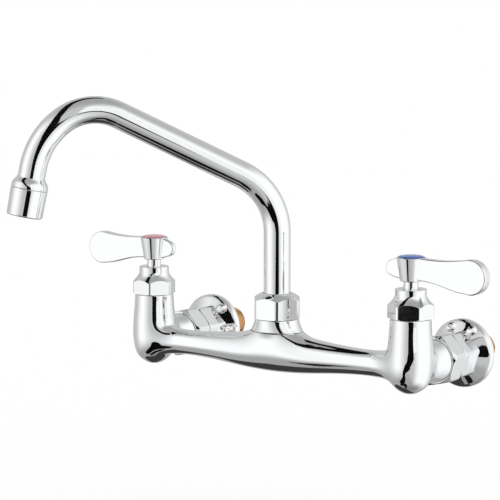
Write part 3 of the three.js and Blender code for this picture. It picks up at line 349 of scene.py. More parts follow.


def index_enamel(name, rgb, x):
    """Glossy enamel in the handle's top, with shade painted a little darker at the rim."""
    material, tree, shader = start_finish(name, rgb, 0, 0.12)
    shader.inputs["Coat Weight"].default_value = 0.6
    place = varied(tree, shader, 5 * MM, 0.08, 0.18)
    away = add_node(tree, "ShaderNodeVectorMath", [(0, place)], operation="DISTANCE")
    away.inputs[1].default_value = (x, -sizes().bar_depth, ENAMEL_HEIGHT)
    rim = add_node(tree, "ShaderNodeMapRange", [("Value", away.outputs["Value"])],
                   From_Min=SHADED_RIM[0], From_Max=SHADED_RIM[1])
    # Painted shade: the enamel's colour darkens towards its rim.
    rim_shade = add_node(tree, "ShaderNodeMixRGB", [("Fac", rim.outputs[0])])
    rim_shade.inputs["Color1"].default_value = (*rgb, 1)
    rim_shade.inputs["Color2"].default_value = (*[RIM_SHADE_SHARE * part for part in rgb], 1)
    tree.links.new(rim_shade.outputs[0], shader.inputs["Base Color"])
    return material


FINISHES = {}  # filled once the scene holds the colours


def mix_finishes():
    """Makes every finish under the name that the pieces use."""
    colours, x = finish_colours(), sizes().valve_offset
    FINISHES.update(
        chrome=polished_chrome(), brass=turned_brass("turned_brass", "Y"),
        valve_brass=turned_brass("valve_brass", "Z"), rubber=rubber(),
        stainless=brushed_steel(), ceramic=lapped_ceramic(), acetal=moulded_acetal(),
        hot_index=index_enamel("hot_enamel", colours.hot, -x),
        cold_index=index_enamel("cold_enamel", colours.cold, x))


# ---------------------------------------------------------------- pieces

class FAUCET_OT_hidden(bpy.types.Operator):
    """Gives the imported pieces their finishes. Those inside the faucet keep their shape"""
    bl_idname = "faucet.hidden"
    bl_label = "Inner Pieces"

    FINISH_OF = {
        "bonnet_oring": "rubber", "cartridge_body": "valve_brass", "fixed_disc": "ceramic",
        "moving_disc": "ceramic", "seat_seal": "rubber", "stem_oring": "rubber",
        "handle_screw": "stainless", "union_washer": "rubber", "retaining_clip": "stainless",
        "spout_spigot": "valve_brass", "spout_oring_lower": "rubber",
        "spout_oring_upper": "rubber", "spout_glide_ring": "acetal", "aerator_washer": "rubber",
        "aerator_screen": "stainless", "aerator_insert": "acetal",
    }

    def execute(self, context):
        mix_finishes()
        for name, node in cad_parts.items():
            kind = name.split("_", 1)[1] if name.startswith(("hot_", "cold_")) else name
            finish = self.FINISH_OF.get(kind)
            if name.endswith("index_button"):
                finish = name[:-len("button")].rstrip("_")
            elif "adapter" in name:
                finish = "rubber" if name.endswith("oring") else "brass"
            material = FINISHES[finish or "chrome"]
            for slot in node.material_slots:
                slot.material = material
        return {"FINISHED"}


class FAUCET_OT_body(bpy.types.Operator):
    """Casts the body: bar, valve housings, inlet arms and spout boss in one skin"""
    bl_idname = "faucet.body"
    bl_label = "Body"

    # Rings where the boss flares into the bar: height in mm, width against the boss's, and
    # how far each is squeezed from front to back, where the bar is hardly wider than the boss.
    BOSS_FLARE = ((14.5, 1.27, 0.77), (18.3, 1.08, 0.93))
    BAR_OPENING = (1, 1.42, 0.85)  # stretch of the hole in the bar that the boss grows from
    BAR_RINGS = (-72, -60, -48, -37, -25)  # places of the bar's rings along X in mm
    # Radii in mm: bonnet's bore and valve's chamber, union's spigot and waterway, and the
    # thread and bore of the boss.
    BONNET_BORE, CHAMBER = 11.2, 9.6
    SPIGOT, WATERWAY = 11.9, 7
    BOSS_THREAD, BOSS_BORE = 12, 9.4
    SPIGOT_REACH, NECK_REACH = 8.5, 9.3  # past the arm's end and over the boss's shoulder, in mm

    def execute(self, context):
        s = sizes()
        self.valve = Vector((-s.valve_offset, -s.bar_depth, 0))
        self.housing(s)
        self.arm(s)
        self.bar(s)
        self.boss(s)
        piece = bpy.context.object
        bpy.ops.object.mode_set(mode="OBJECT")
        piece.name = "cast_body"
        add_modifier(piece, "MIRROR", use_axis=(True, False, False), use_clip=True,
                     merge_threshold=1e-5)
        bpy.ops.object.mode_set(mode="EDIT")
        bpy.ops.mesh.select_all(action="SELECT")
        bpy.ops.mesh.remove_doubles(threshold=1e-6)
        bpy.ops.mesh.normals_make_consistent(inside=False)
        bpy.ops.object.mode_set(mode="OBJECT")
        add_modifier(piece, "SUBSURF", levels=3, render_levels=3)
        seat(piece, FINISHES["chrome"], "root", ["body"], smooth=60)
        return {"FINISHED"}

    def housing(self, s):
        """Upright housing with a round foot and the bore for the valve."""
        top, foot, swell = s.valve_height, -s.valve_depth, s.valve_swell * CAGE
        rim = s.valve_radius * CAGE
        bore, chamber = self.BONNET_BORE * MM * CAGE, self.CHAMBER * MM * CAGE
        deselect()
        bpy.ops.mesh.primitive_circle_add(vertices=8, radius=0.2 * swell,
                                          location=self.valve + Z * foot)
        bpy.ops.object.transform_apply(location=True, rotation=True, scale=True)
        bpy.ops.object.mode_set(mode="EDIT")
        bpy.ops.mesh.fill_grid(span=2)
        pick("edges", lambda e: e.is_boundary)
        draw_out(Z, self.valve, [
            (foot, 0.2 * swell), (foot + 1.3 * MM, 0.42 * swell), (-12.8 * MM, 0.69 * swell),
            (-9 * MM, 0.88 * swell), (0, swell), (10 * MM, 0.995 * swell),
            (17 * MM, 0.96 * swell), (0.8 * top, rim * 1.012), (top - 0.8 * MM, rim), (top, rim),
            (top, rim - 0.8 * MM), (top, bore + 0.6 * MM), (top, bore), (top - 1.5 * MM, bore),
            (17 * MM, bore), (16 * MM, bore), (16 * MM, bore - 0.6 * MM), (16 * MM, chamber),
            (15 * MM, chamber), (-5 * MM, chamber), (-6 * MM, chamber),
        ])
        bpy.ops.mesh.edge_face_add()

    def open_side(self, out):
        """Opens the housing's 2 by 2 faces on one side."""
        def on_side(face):
            place = centre_of(face) - self.valve
            flat = Vector((place.x, place.y, 0))
            return (flat.length > 12.5 * MM and abs(place.z) < 10 * MM
                    and flat.dot(out) > 0.75 * flat.length)
        pick("faces", on_side)
        bpy.ops.mesh.delete(type="FACE")

    def branch(self, axis, centre, steps):
        """Adds an eight-sided ring at the first step and draws it out from there."""
        bpy.ops.mesh.select_mode(type="EDGE")
        bpy.ops.mesh.select_all(action="DESELECT")
        tilt = (math.pi / 2 * axis.y, math.pi / 2 * axis.x, 0)
        bpy.ops.mesh.primitive_circle_add(vertices=8, radius=steps[0][1],
                                          location=centre + axis * steps[0][0], rotation=tilt)
        draw_out(axis, centre, steps)

    def bridge(self, test):
        pick("edges", lambda e: e.is_boundary and test(centre_of(e)))
        bpy.ops.mesh.bridge_edge_loops()

    def arm(self, s):
        """Arm towards the wall with the collar and the union's spigot."""
        end, wide = s.arm_length, s.arm_radius * CAGE
        spigot, bore = self.SPIGOT * MM * CAGE, self.WATERWAY * MM * CAGE
        tip = end + self.SPIGOT_REACH * MM
        self.open_side(Y)
        self.branch(Y, self.valve, [
            (17.5 * MM, 0.885 * wide), (22 * MM, 0.93 * wide), (end - 1 * MM, wide), (end, wide),
            (end, wide - 1 * MM), (end, spigot + 0.5 * MM), (end, spigot),
            (end + 0.8 * MM, spigot), (tip - 0.6 * MM, spigot), (tip, spigot),
            (tip, spigot - 0.8 * MM), (tip, bore + 0.6 * MM), (tip, bore), (tip - 1 * MM, bore),
            (13 * MM, bore), (12.2 * MM, bore),
        ])
        bpy.ops.mesh.edge_face_add()
        self.bridge(lambda c: c.y - self.valve.y < 18 * MM and c.y > self.valve.y + 8 * MM
                    and abs(c.x - self.valve.x) < 16 * MM)

    def bar(self, s):
        """Half of the bar, from the housing to the middle."""
        self.open_side(X)
        reach = s.valve_offset
        steps = [(20 * MM, 1.06 * s.bar_radius * CAGE)]
        for x in self.BAR_RINGS:
            fade = 0.5 * (1 + math.cos(math.pi * x * MM / (reach - 18 * MM)))
            swell = (s.bar_middle - s.bar_radius) * fade ** 1.5
            steps.append((reach + x * MM, (s.bar_radius + swell) * CAGE))
        steps.append((reach, s.bar_middle * CAGE))
        self.branch(X, self.valve, steps)
        self.bridge(lambda c: 8 * MM < c.x - self.valve.x < 20.5 * MM
                    and abs(c.y - self.valve.y) < 14 * MM)

    def boss(self, s):
        """Half of the round boss that stands on the bar."""
        top, wide = s.boss_height, s.boss_radius * CAGE
        thread, bore = self.BOSS_THREAD * MM * CAGE, self.BOSS_BORE * MM * CAGE
        end = top + self.NECK_REACH * MM
        foot = Vector((0, -s.bar_depth, 0))
        pick("faces", lambda f: centre_of(f).x > -20 * MM and f.normal.z > 0.5
             and centre_of(f).z > 8 * MM)
        bpy.ops.mesh.delete(type="FACE")
        pick("verts", lambda v: v.co.x > -1e-5 and 6 * MM < v.co.z < 12 * MM)
        bpy.ops.transform.resize(value=self.BAR_OPENING, center_override=foot)
        self.branch(Z, foot, [
            *[(height * MM, flare * wide) for height, flare, squeeze in self.BOSS_FLARE],
            (top - 1 * MM, wide), (top, wide), (top, wide - 0.8 * MM),
            (top, thread + 0.5 * MM), (top, thread), (top + 1 * MM, thread),
            (end - 0.6 * MM, thread), (end, thread), (end, thread - 0.7 * MM),
            (end, bore + 0.5 * MM), (end, bore), (end - 1 * MM, bore), (9.2 * MM, bore),
            (8.4 * MM, bore), (8.4 * MM, bore - 1 * MM), (8.4 * MM, 0.3 * bore),
        ])
        for height, flare, squeeze in self.BOSS_FLARE:
            pick("verts", lambda v: abs(v.co.z - height * MM) < 0.1 * MM
                 and (v.co - foot).xy.length < 22 * MM)
            bpy.ops.transform.resize(value=(1, squeeze, 1), center_override=foot)
        pick("verts", lambda v: v.co.x > 1e-5)
        bpy.ops.mesh.delete(type="VERT")
        self.bridge(lambda c: -26 * MM < c.x < -1e-5 and 5 * MM < c.z < 17 * MM
                    and abs(c.y + s.bar_depth) < 18 * MM)


class FAUCET_OT_bonnets(bpy.types.Operator):
    """Turns the valve bonnets, each a hexagon with a flared neck"""
    bl_idname = "faucet.bonnets"
    bl_label = "Bonnets"

    TURNS = {"hot": 23.6, "cold": -6.5}  # of the hexagon's first flat from X
    # The flare: its height where it starts and its rise, the neck's radius and how much wider
    # the flare starts, in mm, and how fast it falls to the neck.
    FLARE_START, FLARE_RISE, NECK, FLARE_WIDER, FLARE_POWER = 40.6, 6.0, 10.07, 3.9, 1.7
    FLARE_STEPS = 8

    def execute(self, context):
        flare = [(self.FLARE_START + self.FLARE_RISE * t / self.FLARE_STEPS,
                  self.NECK + self.FLARE_WIDER * (1 - t / self.FLARE_STEPS) ** self.FLARE_POWER)
                 for t in range(self.FLARE_STEPS + 1)]
        for side, x in both_sides():
            piece = turned(side + "_bonnet_chrome", [
                (16.5, 8.7), (16.5, 10.9), (29.5, 10.9), (29.5, 9.4), (31.5, 9.4), (31.5, 14.0),
                (32.3, 15.4), (38.0, 15.4), (39.2, 15.1), (40.0, 14.6), *flare,
                (49.9, 10.07), (50.2, 9.77), (50.2, 5.05), (34, 5.05), (34, 8.7), (16.5, 8.7),
            ])
            hexed(piece, flats=26.5, turn=self.TURNS[side], corner=1.3)
            lay(piece, (x, -sizes().bar_depth, 0))
            seat(piece, FINISHES["chrome"], "root", [side + "_bonnet"], edge=0.4)
        return {"FINISHED"}


class FAUCET_OT_handles(bpy.types.Operator):
    """Shapes the lever handles: paddle, hub and tail"""
    bl_idname = "faucet.handles"
    bl_label = "Lever Handles"

    TURNS = {"hot": math.pi, "cold": 0}  # each lever points away from the spout
    TAIL_SHARE = 0.6  # of the blade's thickness
    NARROWING = (-5.5, -2.5)  # where the blade thins towards its tail, along X in mm

    def outline(self):
        """Side view of the lever, outwards along X, in millimetres."""
        points = [(0, 70.0), (9.5, 70.0)]
        points += bezier([(9.5, 70), (19.5, 69.4), (27.5, 69.1), (41.5, 71.43)], 10)
        points += arc((43.5, 60.5), 11.04, 88, -104, 30)
        points += bezier([points[-1], (28.5, 50.5), (23.5, 55.1), (6.5, 56)], 10)
        points += [(-6, 56)]
        points += bezier([(-6, 56), (-9.4, 56.4), (-11.9, 56.9), (-14.4, 58)], 4)
        points += arc((-12.2, 62.8), 5.4, -120, -250, 16)
        points += bezier([points[-1], (-10.5, 69.2), (-8.6, 70), (-7, 70)], 4)
        return points

    def blade(self, s):
        """The flat lever: its outline drawn point by point, filled and thickened."""
        points = [Vector((x * MM, 0, z * MM)) for x, z in self.outline()]
        deselect()
        bpy.ops.mesh.primitive_circle_add(vertices=3, radius=MM)
        piece = bpy.context.object
        bpy.ops.object.mode_set(mode="EDIT")
        bpy.ops.mesh.select_mode(type="VERT")
        bpy.ops.mesh.select_all(action="SELECT")
        bpy.ops.mesh.merge(type="CENTER")
        bpy.ops.transform.translate(value=points[0])
        for here, there in zip(points, points[1:]):
            bpy.ops.mesh.extrude_vertices_move(TRANSFORM_OT_translate={"value": there - here})
        bpy.ops.mesh.select_all(action="SELECT")
        bpy.ops.mesh.remove_doubles(threshold=1e-6)
        bpy.ops.mesh.edge_face_add()
        bpy.ops.transform.translate(value=Y * -s.lever_thickness / 2)
        bpy.ops.mesh.extrude_region_move(
            TRANSFORM_OT_translate={"value": Y * s.lever_thickness})
        bpy.ops.mesh.select_all(action="SELECT")
        bpy.ops.mesh.normals_make_consistent(inside=False)
        # The blade narrows inside the hub, between two cuts that keep its faces flat.
        for x in self.NARROWING:
            bpy.ops.mesh.select_all(action="SELECT")
            bpy.ops.mesh.bisect(plane_co=(x * MM, 0, 0), plane_no=X)
        pick("verts", lambda v: v.co.x < (self.NARROWING[0] + 0.1) * MM)
        bpy.ops.transform.resize(value=(1, self.TAIL_SHARE, 1), center_override=(0, 0, 0))
        bpy.ops.object.mode_set(mode="OBJECT")
        add_modifier(piece, "BEVEL", width=1.0 * MM, segments=4, limit_method="ANGLE",
                     angle_limit=math.radians(50))
        return piece

    def execute(self, context):
        s = sizes()
        hub = turned("hub", [
            (55.0, 6.5), (55.5, 7.0), (69.8, 9.45), (70.2, 9.1), (70.2, 8.75), (69.0, 8.75),
            (69.0, 4.4), (65.0, 4.4), (65.0, 2.1), (63.3, 2.1), (63.3, 4.6), (56.3, 4.6),
            (56.3, 5.05), (55.0, 5.05), (55.0, 6.5),
        ])
        well = turned("well", [(56.3, 4.6), (63.3, 4.6), (63.3, 2.1), (65.0, 2.1), (65.0, 4.4),
                               (69.0, 4.4), (69.0, 8.75), (72.0, 8.75)])
        lever = combine(self.blade(s), well, "DIFFERENCE")
        combine(lever, hub, "UNION")
        for side, x in both_sides():
            piece = copy_of(lever, side + "_lever_chrome")
            lay(piece, (x, -s.bar_depth, 0), (0, 0, self.TURNS[side]))
            seat(piece, FINISHES["chrome"], side + "_handle", [side + "_lever"])
        bpy.data.objects.remove(lever)
        return {"FINISHED"}


class FAUCET_OT_stems(bpy.types.Operator):
    """Turns the plated valve stems, each with a square end and a driving tongue"""
    bl_idname = "faucet.stems"
    bl_label = "Stems"

    def bar_stock(self, width, depth, low, high):
        """A rectangular bar between two heights."""
        deselect()
        bpy.ops.mesh.primitive_cube_add(size=1)
        piece = bpy.context.object
        piece.scale = (width * MM, depth * MM, (high - low) * MM)
        return lay(piece, (0, 0, (low + high) / 2 * MM))

    def execute(self, context):
        stem = turned("stem", [
            (3.3, 4.2), (3.8, 4.75), (43.18, 4.75), (43.18, 3.0), (45.22, 3.0), (45.22, 4.75),
            (56.0, 4.75), (56.0, 2.1), (53.3, 2.1),
        ])
        tongue = turned("tongue", [(1.3, 6.3), (3.6, 6.3)])
        combine(tongue, self.bar_stock(width=13, depth=3, low=1.3, high=3.6), "INTERSECT")
        square = self.bar_stock(width=6.4, depth=6.4, low=55.5, high=63.0)
        combine(square, turned("bore", [(53, 2.1), (64, 2.1)]), "DIFFERENCE")
        combine(combine(stem, tongue, "UNION"), square, "UNION")
        for side, x in both_sides():
            piece = copy_of(stem, side + "_stem_plated")
            lay(piece, (x, -sizes().bar_depth, 0))
            seat(piece, FINISHES["chrome"], side + "_handle", [side + "_stem"], edge=0.15)
        bpy.data.objects.remove(stem)
        return {"FINISHED"}


class FAUCET_OT_indexes(bpy.types.Operator):
    """Presses the coloured index buttons into the handles"""
    bl_idname = "faucet.indexes"
    bl_label = "Index Buttons"

    RADIUS, DOME_START, DOME_RISE = 8.45, 70.2, 1.6

    def execute(self, context):
        dome = [(self.DOME_START + self.DOME_RISE * math.sin(math.radians(a)),
                 self.RADIUS * math.cos(math.radians(a))) for a in range(0, 91, 9)]
        for side, x in both_sides():
            piece = turned(side + "_index_enamel",
                           [(68.4, 4.1), (69.3, 4.1), (69.3, self.RADIUS), *dome])
            lay(piece, (x, -sizes().bar_depth, 0))
            seat(piece, FINISHES[side + "_index"], side + "_handle",
                 [side + "_index_button"], edge=0.15)
        return {"FINISHED"}


class FAUCET_OT_inlets(bpy.types.Operator):
    """Makes the coupling nuts, flanged inlets and brass adapters at the wall"""
    bl_idname = "faucet.inlets"
    bl_label = "Inlets"

    FIXING_ANGLES = (-20, 30)  # of the flange's holes, from straight up
    FIXING_RADIUS = 18.5  # of the circle that they lie on
    HOT_INLET_TURN = 60  # the hot side's flange is screwed this much further round
    HEXAGON_TURN = 17  # of every hexagon's first flat from X
    # Pitch of a half-inch pipe thread, its depth, and the places of its flanks' ends.
    PITCH, DEPTH = 1.814, 1.0
    FLANKS = (0.62, 0.82, 1.44)

    def coupling(self):
        nut = turned("nut", [
            (28.8, 12.2), (28.8, 14.8), (31.0, 17.77), (41.4, 17.77), (43.6, 14.8), (43.6, 9.9),
            (41.9, 9.9), (41.9, 12.2), (28.8, 12.2),
        ])
        return hexed(nut, flats=30.6, turn=self.HEXAGON_TURN, corner=1.6)

    def flange(self):
        """Nose and hexagon in one with the round flange, drilled for two screws."""
        whole = turned("flange", [
            (59.5, 12.0), (61.0, 12.0), (61.0, 14.2), (63.6, 18.4), (64.9, 20.6), (65.6, 21.6),
            (66.3, 22.3), (67.2, 22.7), (69.7, 22.7), (69.7, 15.9), (67.2, 15.9), (67.2, 12.0),
            (59.5, 12.0),
        ])
        shank = turned("shank", [
            (39.6, 6.5), (39.6, 9.6), (44.8, 9.6), (44.8, 14.4), (45.6, 16.73), (62.8, 16.73),
            (62.8, 10.6), (54.7, 10.6), (54.7, 6.5), (39.6, 6.5),
        ])
        hexed(shank, flats=28.8, turn=self.HEXAGON_TURN, corner=1.6)
        combine(whole, shank, "UNION")
        for angle in self.FIXING_ANGLES:
            sink = turned("sink", [(55, 3.5), (64.7, 3.5), (66.7, 2.0), (72, 2.0)], 32)
            turn = math.radians(angle)
            lay(sink, (self.FIXING_RADIUS * MM * math.sin(turn),
                       -self.FIXING_RADIUS * MM * math.cos(turn), 0))
            combine(whole, sink, "DIFFERENCE")
        return whole

    def thread(self, start, count, radius, taper):
        """Ridges of a half-inch pipe thread as (height, radius) points."""
        up, over, down = self.FLANKS
        points = []
        for turn in range(count):
            height = start + turn * self.PITCH
            crest = radius - taper * turn * self.PITCH
            root = crest - self.DEPTH
            points += [(height, root), (height + up, crest), (height + over, crest),
                       (height + down, root)]
        return points

    def adapter(self):
        core = turned("core", [
            (55.0, 7.0), (55.0, 9.3), *self.thread(55.1, 3, 10.3, 0), (60.5, 9.3), (60.5, 7.8),
            (63.5, 7.8), (63.5, 10.3), (73.5, 10.3), (74.5, 9.9),
            *self.thread(75.1, 11, 10.9, 1 / 32), (95.1, 9.3), (95.5, 9.0), (95.5, 7.0),
            (55.0, 7.0),
        ])
        hexagon = turned("hexagon", [
            (67.5, 8.0), (67.5, 13.5), (68.3, 15.68), (73.7, 15.68), (74.5, 13.5), (74.5, 8.0),
            (67.5, 8.0),
        ])
        hexed(hexagon, flats=27, turn=self.HEXAGON_TURN, corner=0.5)
        return combine(core, hexagon, "UNION")

    def execute(self, context):
        made = (("coupling_nut", self.coupling(), "chrome", 0.5),
                ("flanged_inlet", self.flange(), "chrome", 0.3),
                ("adapter", self.adapter(), "brass", 0.15))
        for kind, pattern, finish, edge in made:
            for side, x in both_sides():
                piece = copy_of(pattern, side + "_" + kind + "_" + finish)
                if side == "hot" and kind == "flanged_inlet":
                    lay(piece, turn=(0, 0, math.radians(self.HOT_INLET_TURN)))
                lay(piece, (x, -sizes().bar_depth, 0), (-math.pi / 2, 0, 0))
                seat(piece, FINISHES[finish], "root", [side + "_" + kind], edge=edge)
            bpy.data.objects.remove(pattern)
        return {"FINISHED"}


class FAUCET_OT_spout(bpy.types.Operator):
    """Bends the spout's tube and fits its nut, tip and aerator"""
    bl_idname = "faucet.spout"
    bl_label = "Spout"

    SWING = math.radians(45)  # of the spout at rest, to the left of straight ahead
    # Each bend's radius in mm and the tube's pitch in degrees before and after it.
    BENDS = ((42.6, 90, 26.2), (35.2, 26.2, -37), (49.0, -37, -79))
    BEND_STEP = 2.5  # about how many degrees one step of a bend turns
    # In mm: the tube's lower end, the height where the lines of riser and slope cross, how far
    # out the slope ends, and the straight end after the last bend.
    TUBE_START, CORNER, SLOPE_END, STRAIGHT_END = 34.6, 106.2, 103.7, 12.9

    def bend_tube(self, s):
        """A circle drawn up the riser, spun round each bend and drawn along each straight."""
        swing = self.SWING
        out = Vector((-math.sin(swing), -math.cos(swing), 0))
        across = Vector((math.cos(swing), -math.sin(swing), 0))
        base = Vector((0, -s.bar_depth, self.TUBE_START * MM))
        deselect()
        bpy.ops.mesh.primitive_circle_add(vertices=64, radius=s.tube_radius, location=base)
        piece = bpy.context.object
        bpy.ops.object.transform_apply(location=True, rotation=True, scale=True)
        bpy.ops.object.mode_set(mode="EDIT")
        bpy.ops.mesh.select_mode(type="EDGE")
        radius, _, slope = self.BENDS[0]
        tangent = radius * MM * math.tan((math.pi / 2 - math.radians(slope)) / 2)
        here = base.copy()
        rise = self.CORNER * MM - tangent - base.z
        bpy.ops.mesh.extrude_edges_move(TRANSFORM_OT_translate={"value": Z * rise})
        here += Z * rise
        for number, (radius, start, end) in enumerate(self.BENDS):
            pitch = math.radians(start)
            inward = out * math.sin(pitch) - Z * math.cos(pitch)
            centre = here + inward * radius * MM
            bpy.ops.mesh.spin(steps=max(8, int((start - end) / self.BEND_STEP)),
                              angle=-math.radians(start - end), center=centre, axis=across)
            pitch = math.radians(end)
            inward = out * math.sin(pitch) - Z * math.cos(pitch)
            here = centre - inward * radius * MM
            if number == 0:
                flow = out * math.cos(pitch) + Z * math.sin(pitch)
                reach = (here - base).dot(out)
                run = (self.SLOPE_END * MM - reach) / math.cos(pitch)
                bpy.ops.mesh.extrude_edges_move(TRANSFORM_OT_translate={"value": flow * run})
                here += flow * run
        flow = out * math.cos(pitch) + Z * math.sin(pitch)
        ending = flow * self.STRAIGHT_END * MM
        bpy.ops.mesh.extrude_edges_move(TRANSFORM_OT_translate={"value": ending})
        here += ending
        bpy.ops.mesh.select_all(action="SELECT")
        bpy.ops.mesh.remove_doubles(threshold=1e-6)
        bpy.ops.mesh.normals_make_consistent(inside=False)
        bpy.ops.object.mode_set(mode="OBJECT")
        add_modifier(piece, "SOLIDIFY", thickness=s.tube_wall, offset=-1, use_even_offset=True)
        piece.name = "spout_tube_chrome"
        return piece, here

    def execute(self, context):
        s = sizes()
        tube, end = self.bend_tube(s)
        chrome = FINISHES["chrome"]
        seat(tube, chrome, "spout", ["spout_tube"], smooth=40)
        last_pitch = math.radians(self.BENDS[-1][2])
        place = dict(at=end, turn=(math.pi / 2 - last_pitch, 0, -self.SWING))
        tip = turned("spout_tip_chrome", [
            (-6.6, 9.1), (-6.4, 9.2), (-5.8, 9.5), (-5.0, 10.1), (-4.1, 10.8), (-3.2, 11.35),
            (-2.2, 11.7), (-1.2, 11.85), (0.4, 11.9), (0.4, 10.1), (7.7, 10.1), (7.7, 7.65),
            (0.0, 7.65), (0.0, 9.1), (-6.6, 9.1),
        ])
        lay(tip, **place)
        seat(tip, chrome, "spout", ["spout_tip"], edge=0.12)
        shell = turned("aerator_shell_chrome", [
            (0.6, 10.4), (0.6, 11.75), (1.0, 11.95), (17.9, 11.6), (18.6, 11.1), (18.6, 9.2),
            (17.2, 9.2), (17.2, 10.4), (0.6, 10.4),
        ])
        lay(shell, **place)
        seat(shell, chrome, "spout", ["aerator_shell"], edge=0.25)
        nut = turned("spout_nut_chrome", [
            (23.0, 12.3), (23.0, 15.3), (23.8, 17.19), (34.7, 17.19), (36.2, 15.6), (37.5, 14.3),
            (38.6, 12.6), (39.2, 11.2), (39.45, 10.4), (39.7, 10.15), (39.7, 9.15), (35.9, 9.15),
            (35.9, 12.3), (23.0, 12.3),
        ])
        hexed(nut, flats=29.6, turn=34, corner=2.2)
        lay(nut, (0, -s.bar_depth, 0))
        seat(nut, chrome, "root", ["spout_nut"], edge=0.45)
        return {"FINISHED"}


class FAUCET_OT_stage(bpy.types.Operator):
    """Sets the floor, studio light and camera"""
    bl_idname = "faucet.stage"
    bl_label = "Stage"

    # A black strip round the studio that only the chrome mirrors, a painted reflection, as
    # (azimuth, elevation, half width) in degrees: up past the camera and over the faucet to the
    # left, and a tail down in front.
    STRIP = ((36, -15, 15), (33, -8, 15.5), (34, -2, 12), (29, 6, 8.5), (25, 12, 7.5),
             (19, 20, 7), (12, 28, 7), (7, 36, 7), (0, 44, 7), (-13, 53, 7), (-32, 61, 7),
             (-55, 65, 6.5), (-80, 66, 7), (-105, 64, 8.5), (-128, 62, 9), (-150, 58, 6))
    TAIL = ((30, -12, 7), (19, -17, 6), (8, -20, 5.5), (1, -26, 6), (0, -33, 7), (-5, -39, 8),
            (-18, -44, 7.5), (-34, -46, 6))
    # A white strip that only mirrors see, a painted reflection, which closes the studio beside the
    # black one.
    WHITE = ((57, -5, 8.5), (57, 1, 10), (55, 9, 11), (54, 17, 12), (54, 27, 12), (55, 37, 11))
    STUDIO_RADIUS, STUDIO_CENTRE = 1.8, 0.06  # of the reflection cards, and their centre's height

    # Dark sheets low in the studio, below the floor, that only mirrors see, painted dark
    # reflections, as (x, y) corners in metres.
    SHEET_HEIGHT = -0.4
    SHEETS = (("grey_sheet", "#3c3c3d", ((-0.4, -0.06), (-0.28, -0.22), (-0.12, -0.2),
                                         (-0.04, -0.13), (0.03, -0.14), (0.03, 0.25),
                                         (-0.4, 0.25))),
              ("dark_sheet", "#161617", ((0.005, -0.15), (0.06, -0.15), (0.13, -0.3),
                                         (0.12, -0.42), (0.0, -0.47), (-0.17, -0.35),
                                         (-0.12, -0.245), (0.005, -0.285))))

    # Grey walls with two white soft boxes that only mirrors see, a painted reflection with painted
    # highlights, by azimuth in degrees: one on the left of the camera and a wide one on the right,
    # each fading into the wall on both its sides.
    WALLS = ((-180, "#c0c0c0"), (-80, "#c0c0c0"), (-45, "#ffffff"), (-25, "#ffffff"),
             (10, "#c0c0c0"), (45, "#c0c0c0"), (75, "#ffffff"), (135, "#ffffff"),
             (180, "#c0c0c0"))
    # Grey overhead and a darker floor that only mirrors see, a painted reflection, by height on a
    # sphere of radius 1.
    CEILING = ((-1, "#808080"), (-0.8, "#a0a0a0"), (0.6, "#b0b0b0"), (1, "#a0a0a0"))
    # Heights between which the walls blend into the floor and the ceiling.
    WALLS_FROM, WALLS_TO = (-0.6, -0.22), (0.9, 0.55)
    # The walls reach further down on the right, by azimuth.
    WALLS_DEEPER, DEEPER_FROM = 0.36, (15, 55)
    MIRROR_GAIN = 1.1  # how much brighter mirrors see the studio than its colours say

    FLOOR_SIZE, FLOOR_HEIGHT = 6, -0.16
    # The photograph's camera: round and up in degrees, away in metres, the x and z of the
    # point over the bar's axis that it looks at, and its lens and sensor in mm.
    CAMERA_AZIMUTH, CAMERA_ELEVATION, CAMERA_DISTANCE = 34.7711, 6.6985, 1.370728
    CAMERA_AIM = (-0.021662, 0.066458)
    CAMERA_LENS, CAMERA_SENSOR = 149.044, 36

    def heading(self, azimuth, elevation):
        """Direction of a place in the studio; straight forward is azimuth 0."""
        turn, rise = math.radians(azimuth), math.radians(elevation)
        return Vector((math.sin(turn) * math.cos(rise), -math.cos(turn) * math.cos(rise),
                       math.sin(rise)))

    def card(self, name, corners, faces, code):
        """A studio card that only mirrors see."""
        mesh = bpy.data.meshes.new(name)
        mesh.from_pydata(corners, [], faces)
        item = bpy.data.objects.new(name, mesh)
        bpy.context.scene.collection.objects.link(item)
        material, _, shader = start_finish(name, linear(code), 0, 1)
        shader.inputs["Specular IOR Level"].default_value = 0
        mesh.materials.append(material)
        item.visible_camera = item.visible_diffuse = item.visible_shadow = False

    def strip_card(self, name, course, code):
        """A ribbon that only mirrors see, a painted reflection, through a course of directions
        round the faucet.
        """
        centre = Vector((0, -sizes().bar_depth, self.STUDIO_CENTRE))
        path = [self.heading(*place[:2]) for place in course]
        corners = []
        for i, here in enumerate(path):
            along = path[min(i + 1, len(path) - 1)] - path[max(i - 1, 0)]
            side = along.cross(here).normalized() * math.tan(math.radians(course[i][2]))
            corners += [centre + (here + side) * self.STUDIO_RADIUS,
                        centre + (here - side) * self.STUDIO_RADIUS]
        self.card(name, corners, [(2 * i, 2 * i + 1, 2 * i + 3, 2 * i + 2)
                                  for i in range(len(path) - 1)], code)

    def cards(self):
        """Black and white strips and dark sheets that only mirrors see: painted reflections that
        give the chrome its bands.
        """
        self.strip_card("black_strip", self.STRIP, "#0b0b0c")
        self.strip_card("black_tail", self.TAIL, "#0b0b0c")
        self.strip_card("white_strip", self.WHITE, "#ffffff")
        for name, code, corners in self.SHEETS:
            self.card(name, [(*corner, self.SHEET_HEIGHT) for corner in corners],
                      [range(len(corners))], code)

    def ramp(self, tree, value, low, high, stops, unit):
        """Brightness by a value that runs from low to high, with its stops in a unit."""
        share = add_node(tree, "ShaderNodeMapRange", [("Value", value)], From_Min=low,
                         From_Max=high)
        ramp = add_node(tree, "ShaderNodeValToRGB", [(0, share.outputs[0])])
        for number, (at, code) in enumerate(stops):
            place = (at * unit - low) / (high - low)
            elements = ramp.color_ramp.elements
            stop = elements[number] if number < 2 else elements.new(place)
            stop.position = place
            stop.color = (*linear(code), 1)
        return ramp.outputs[0]

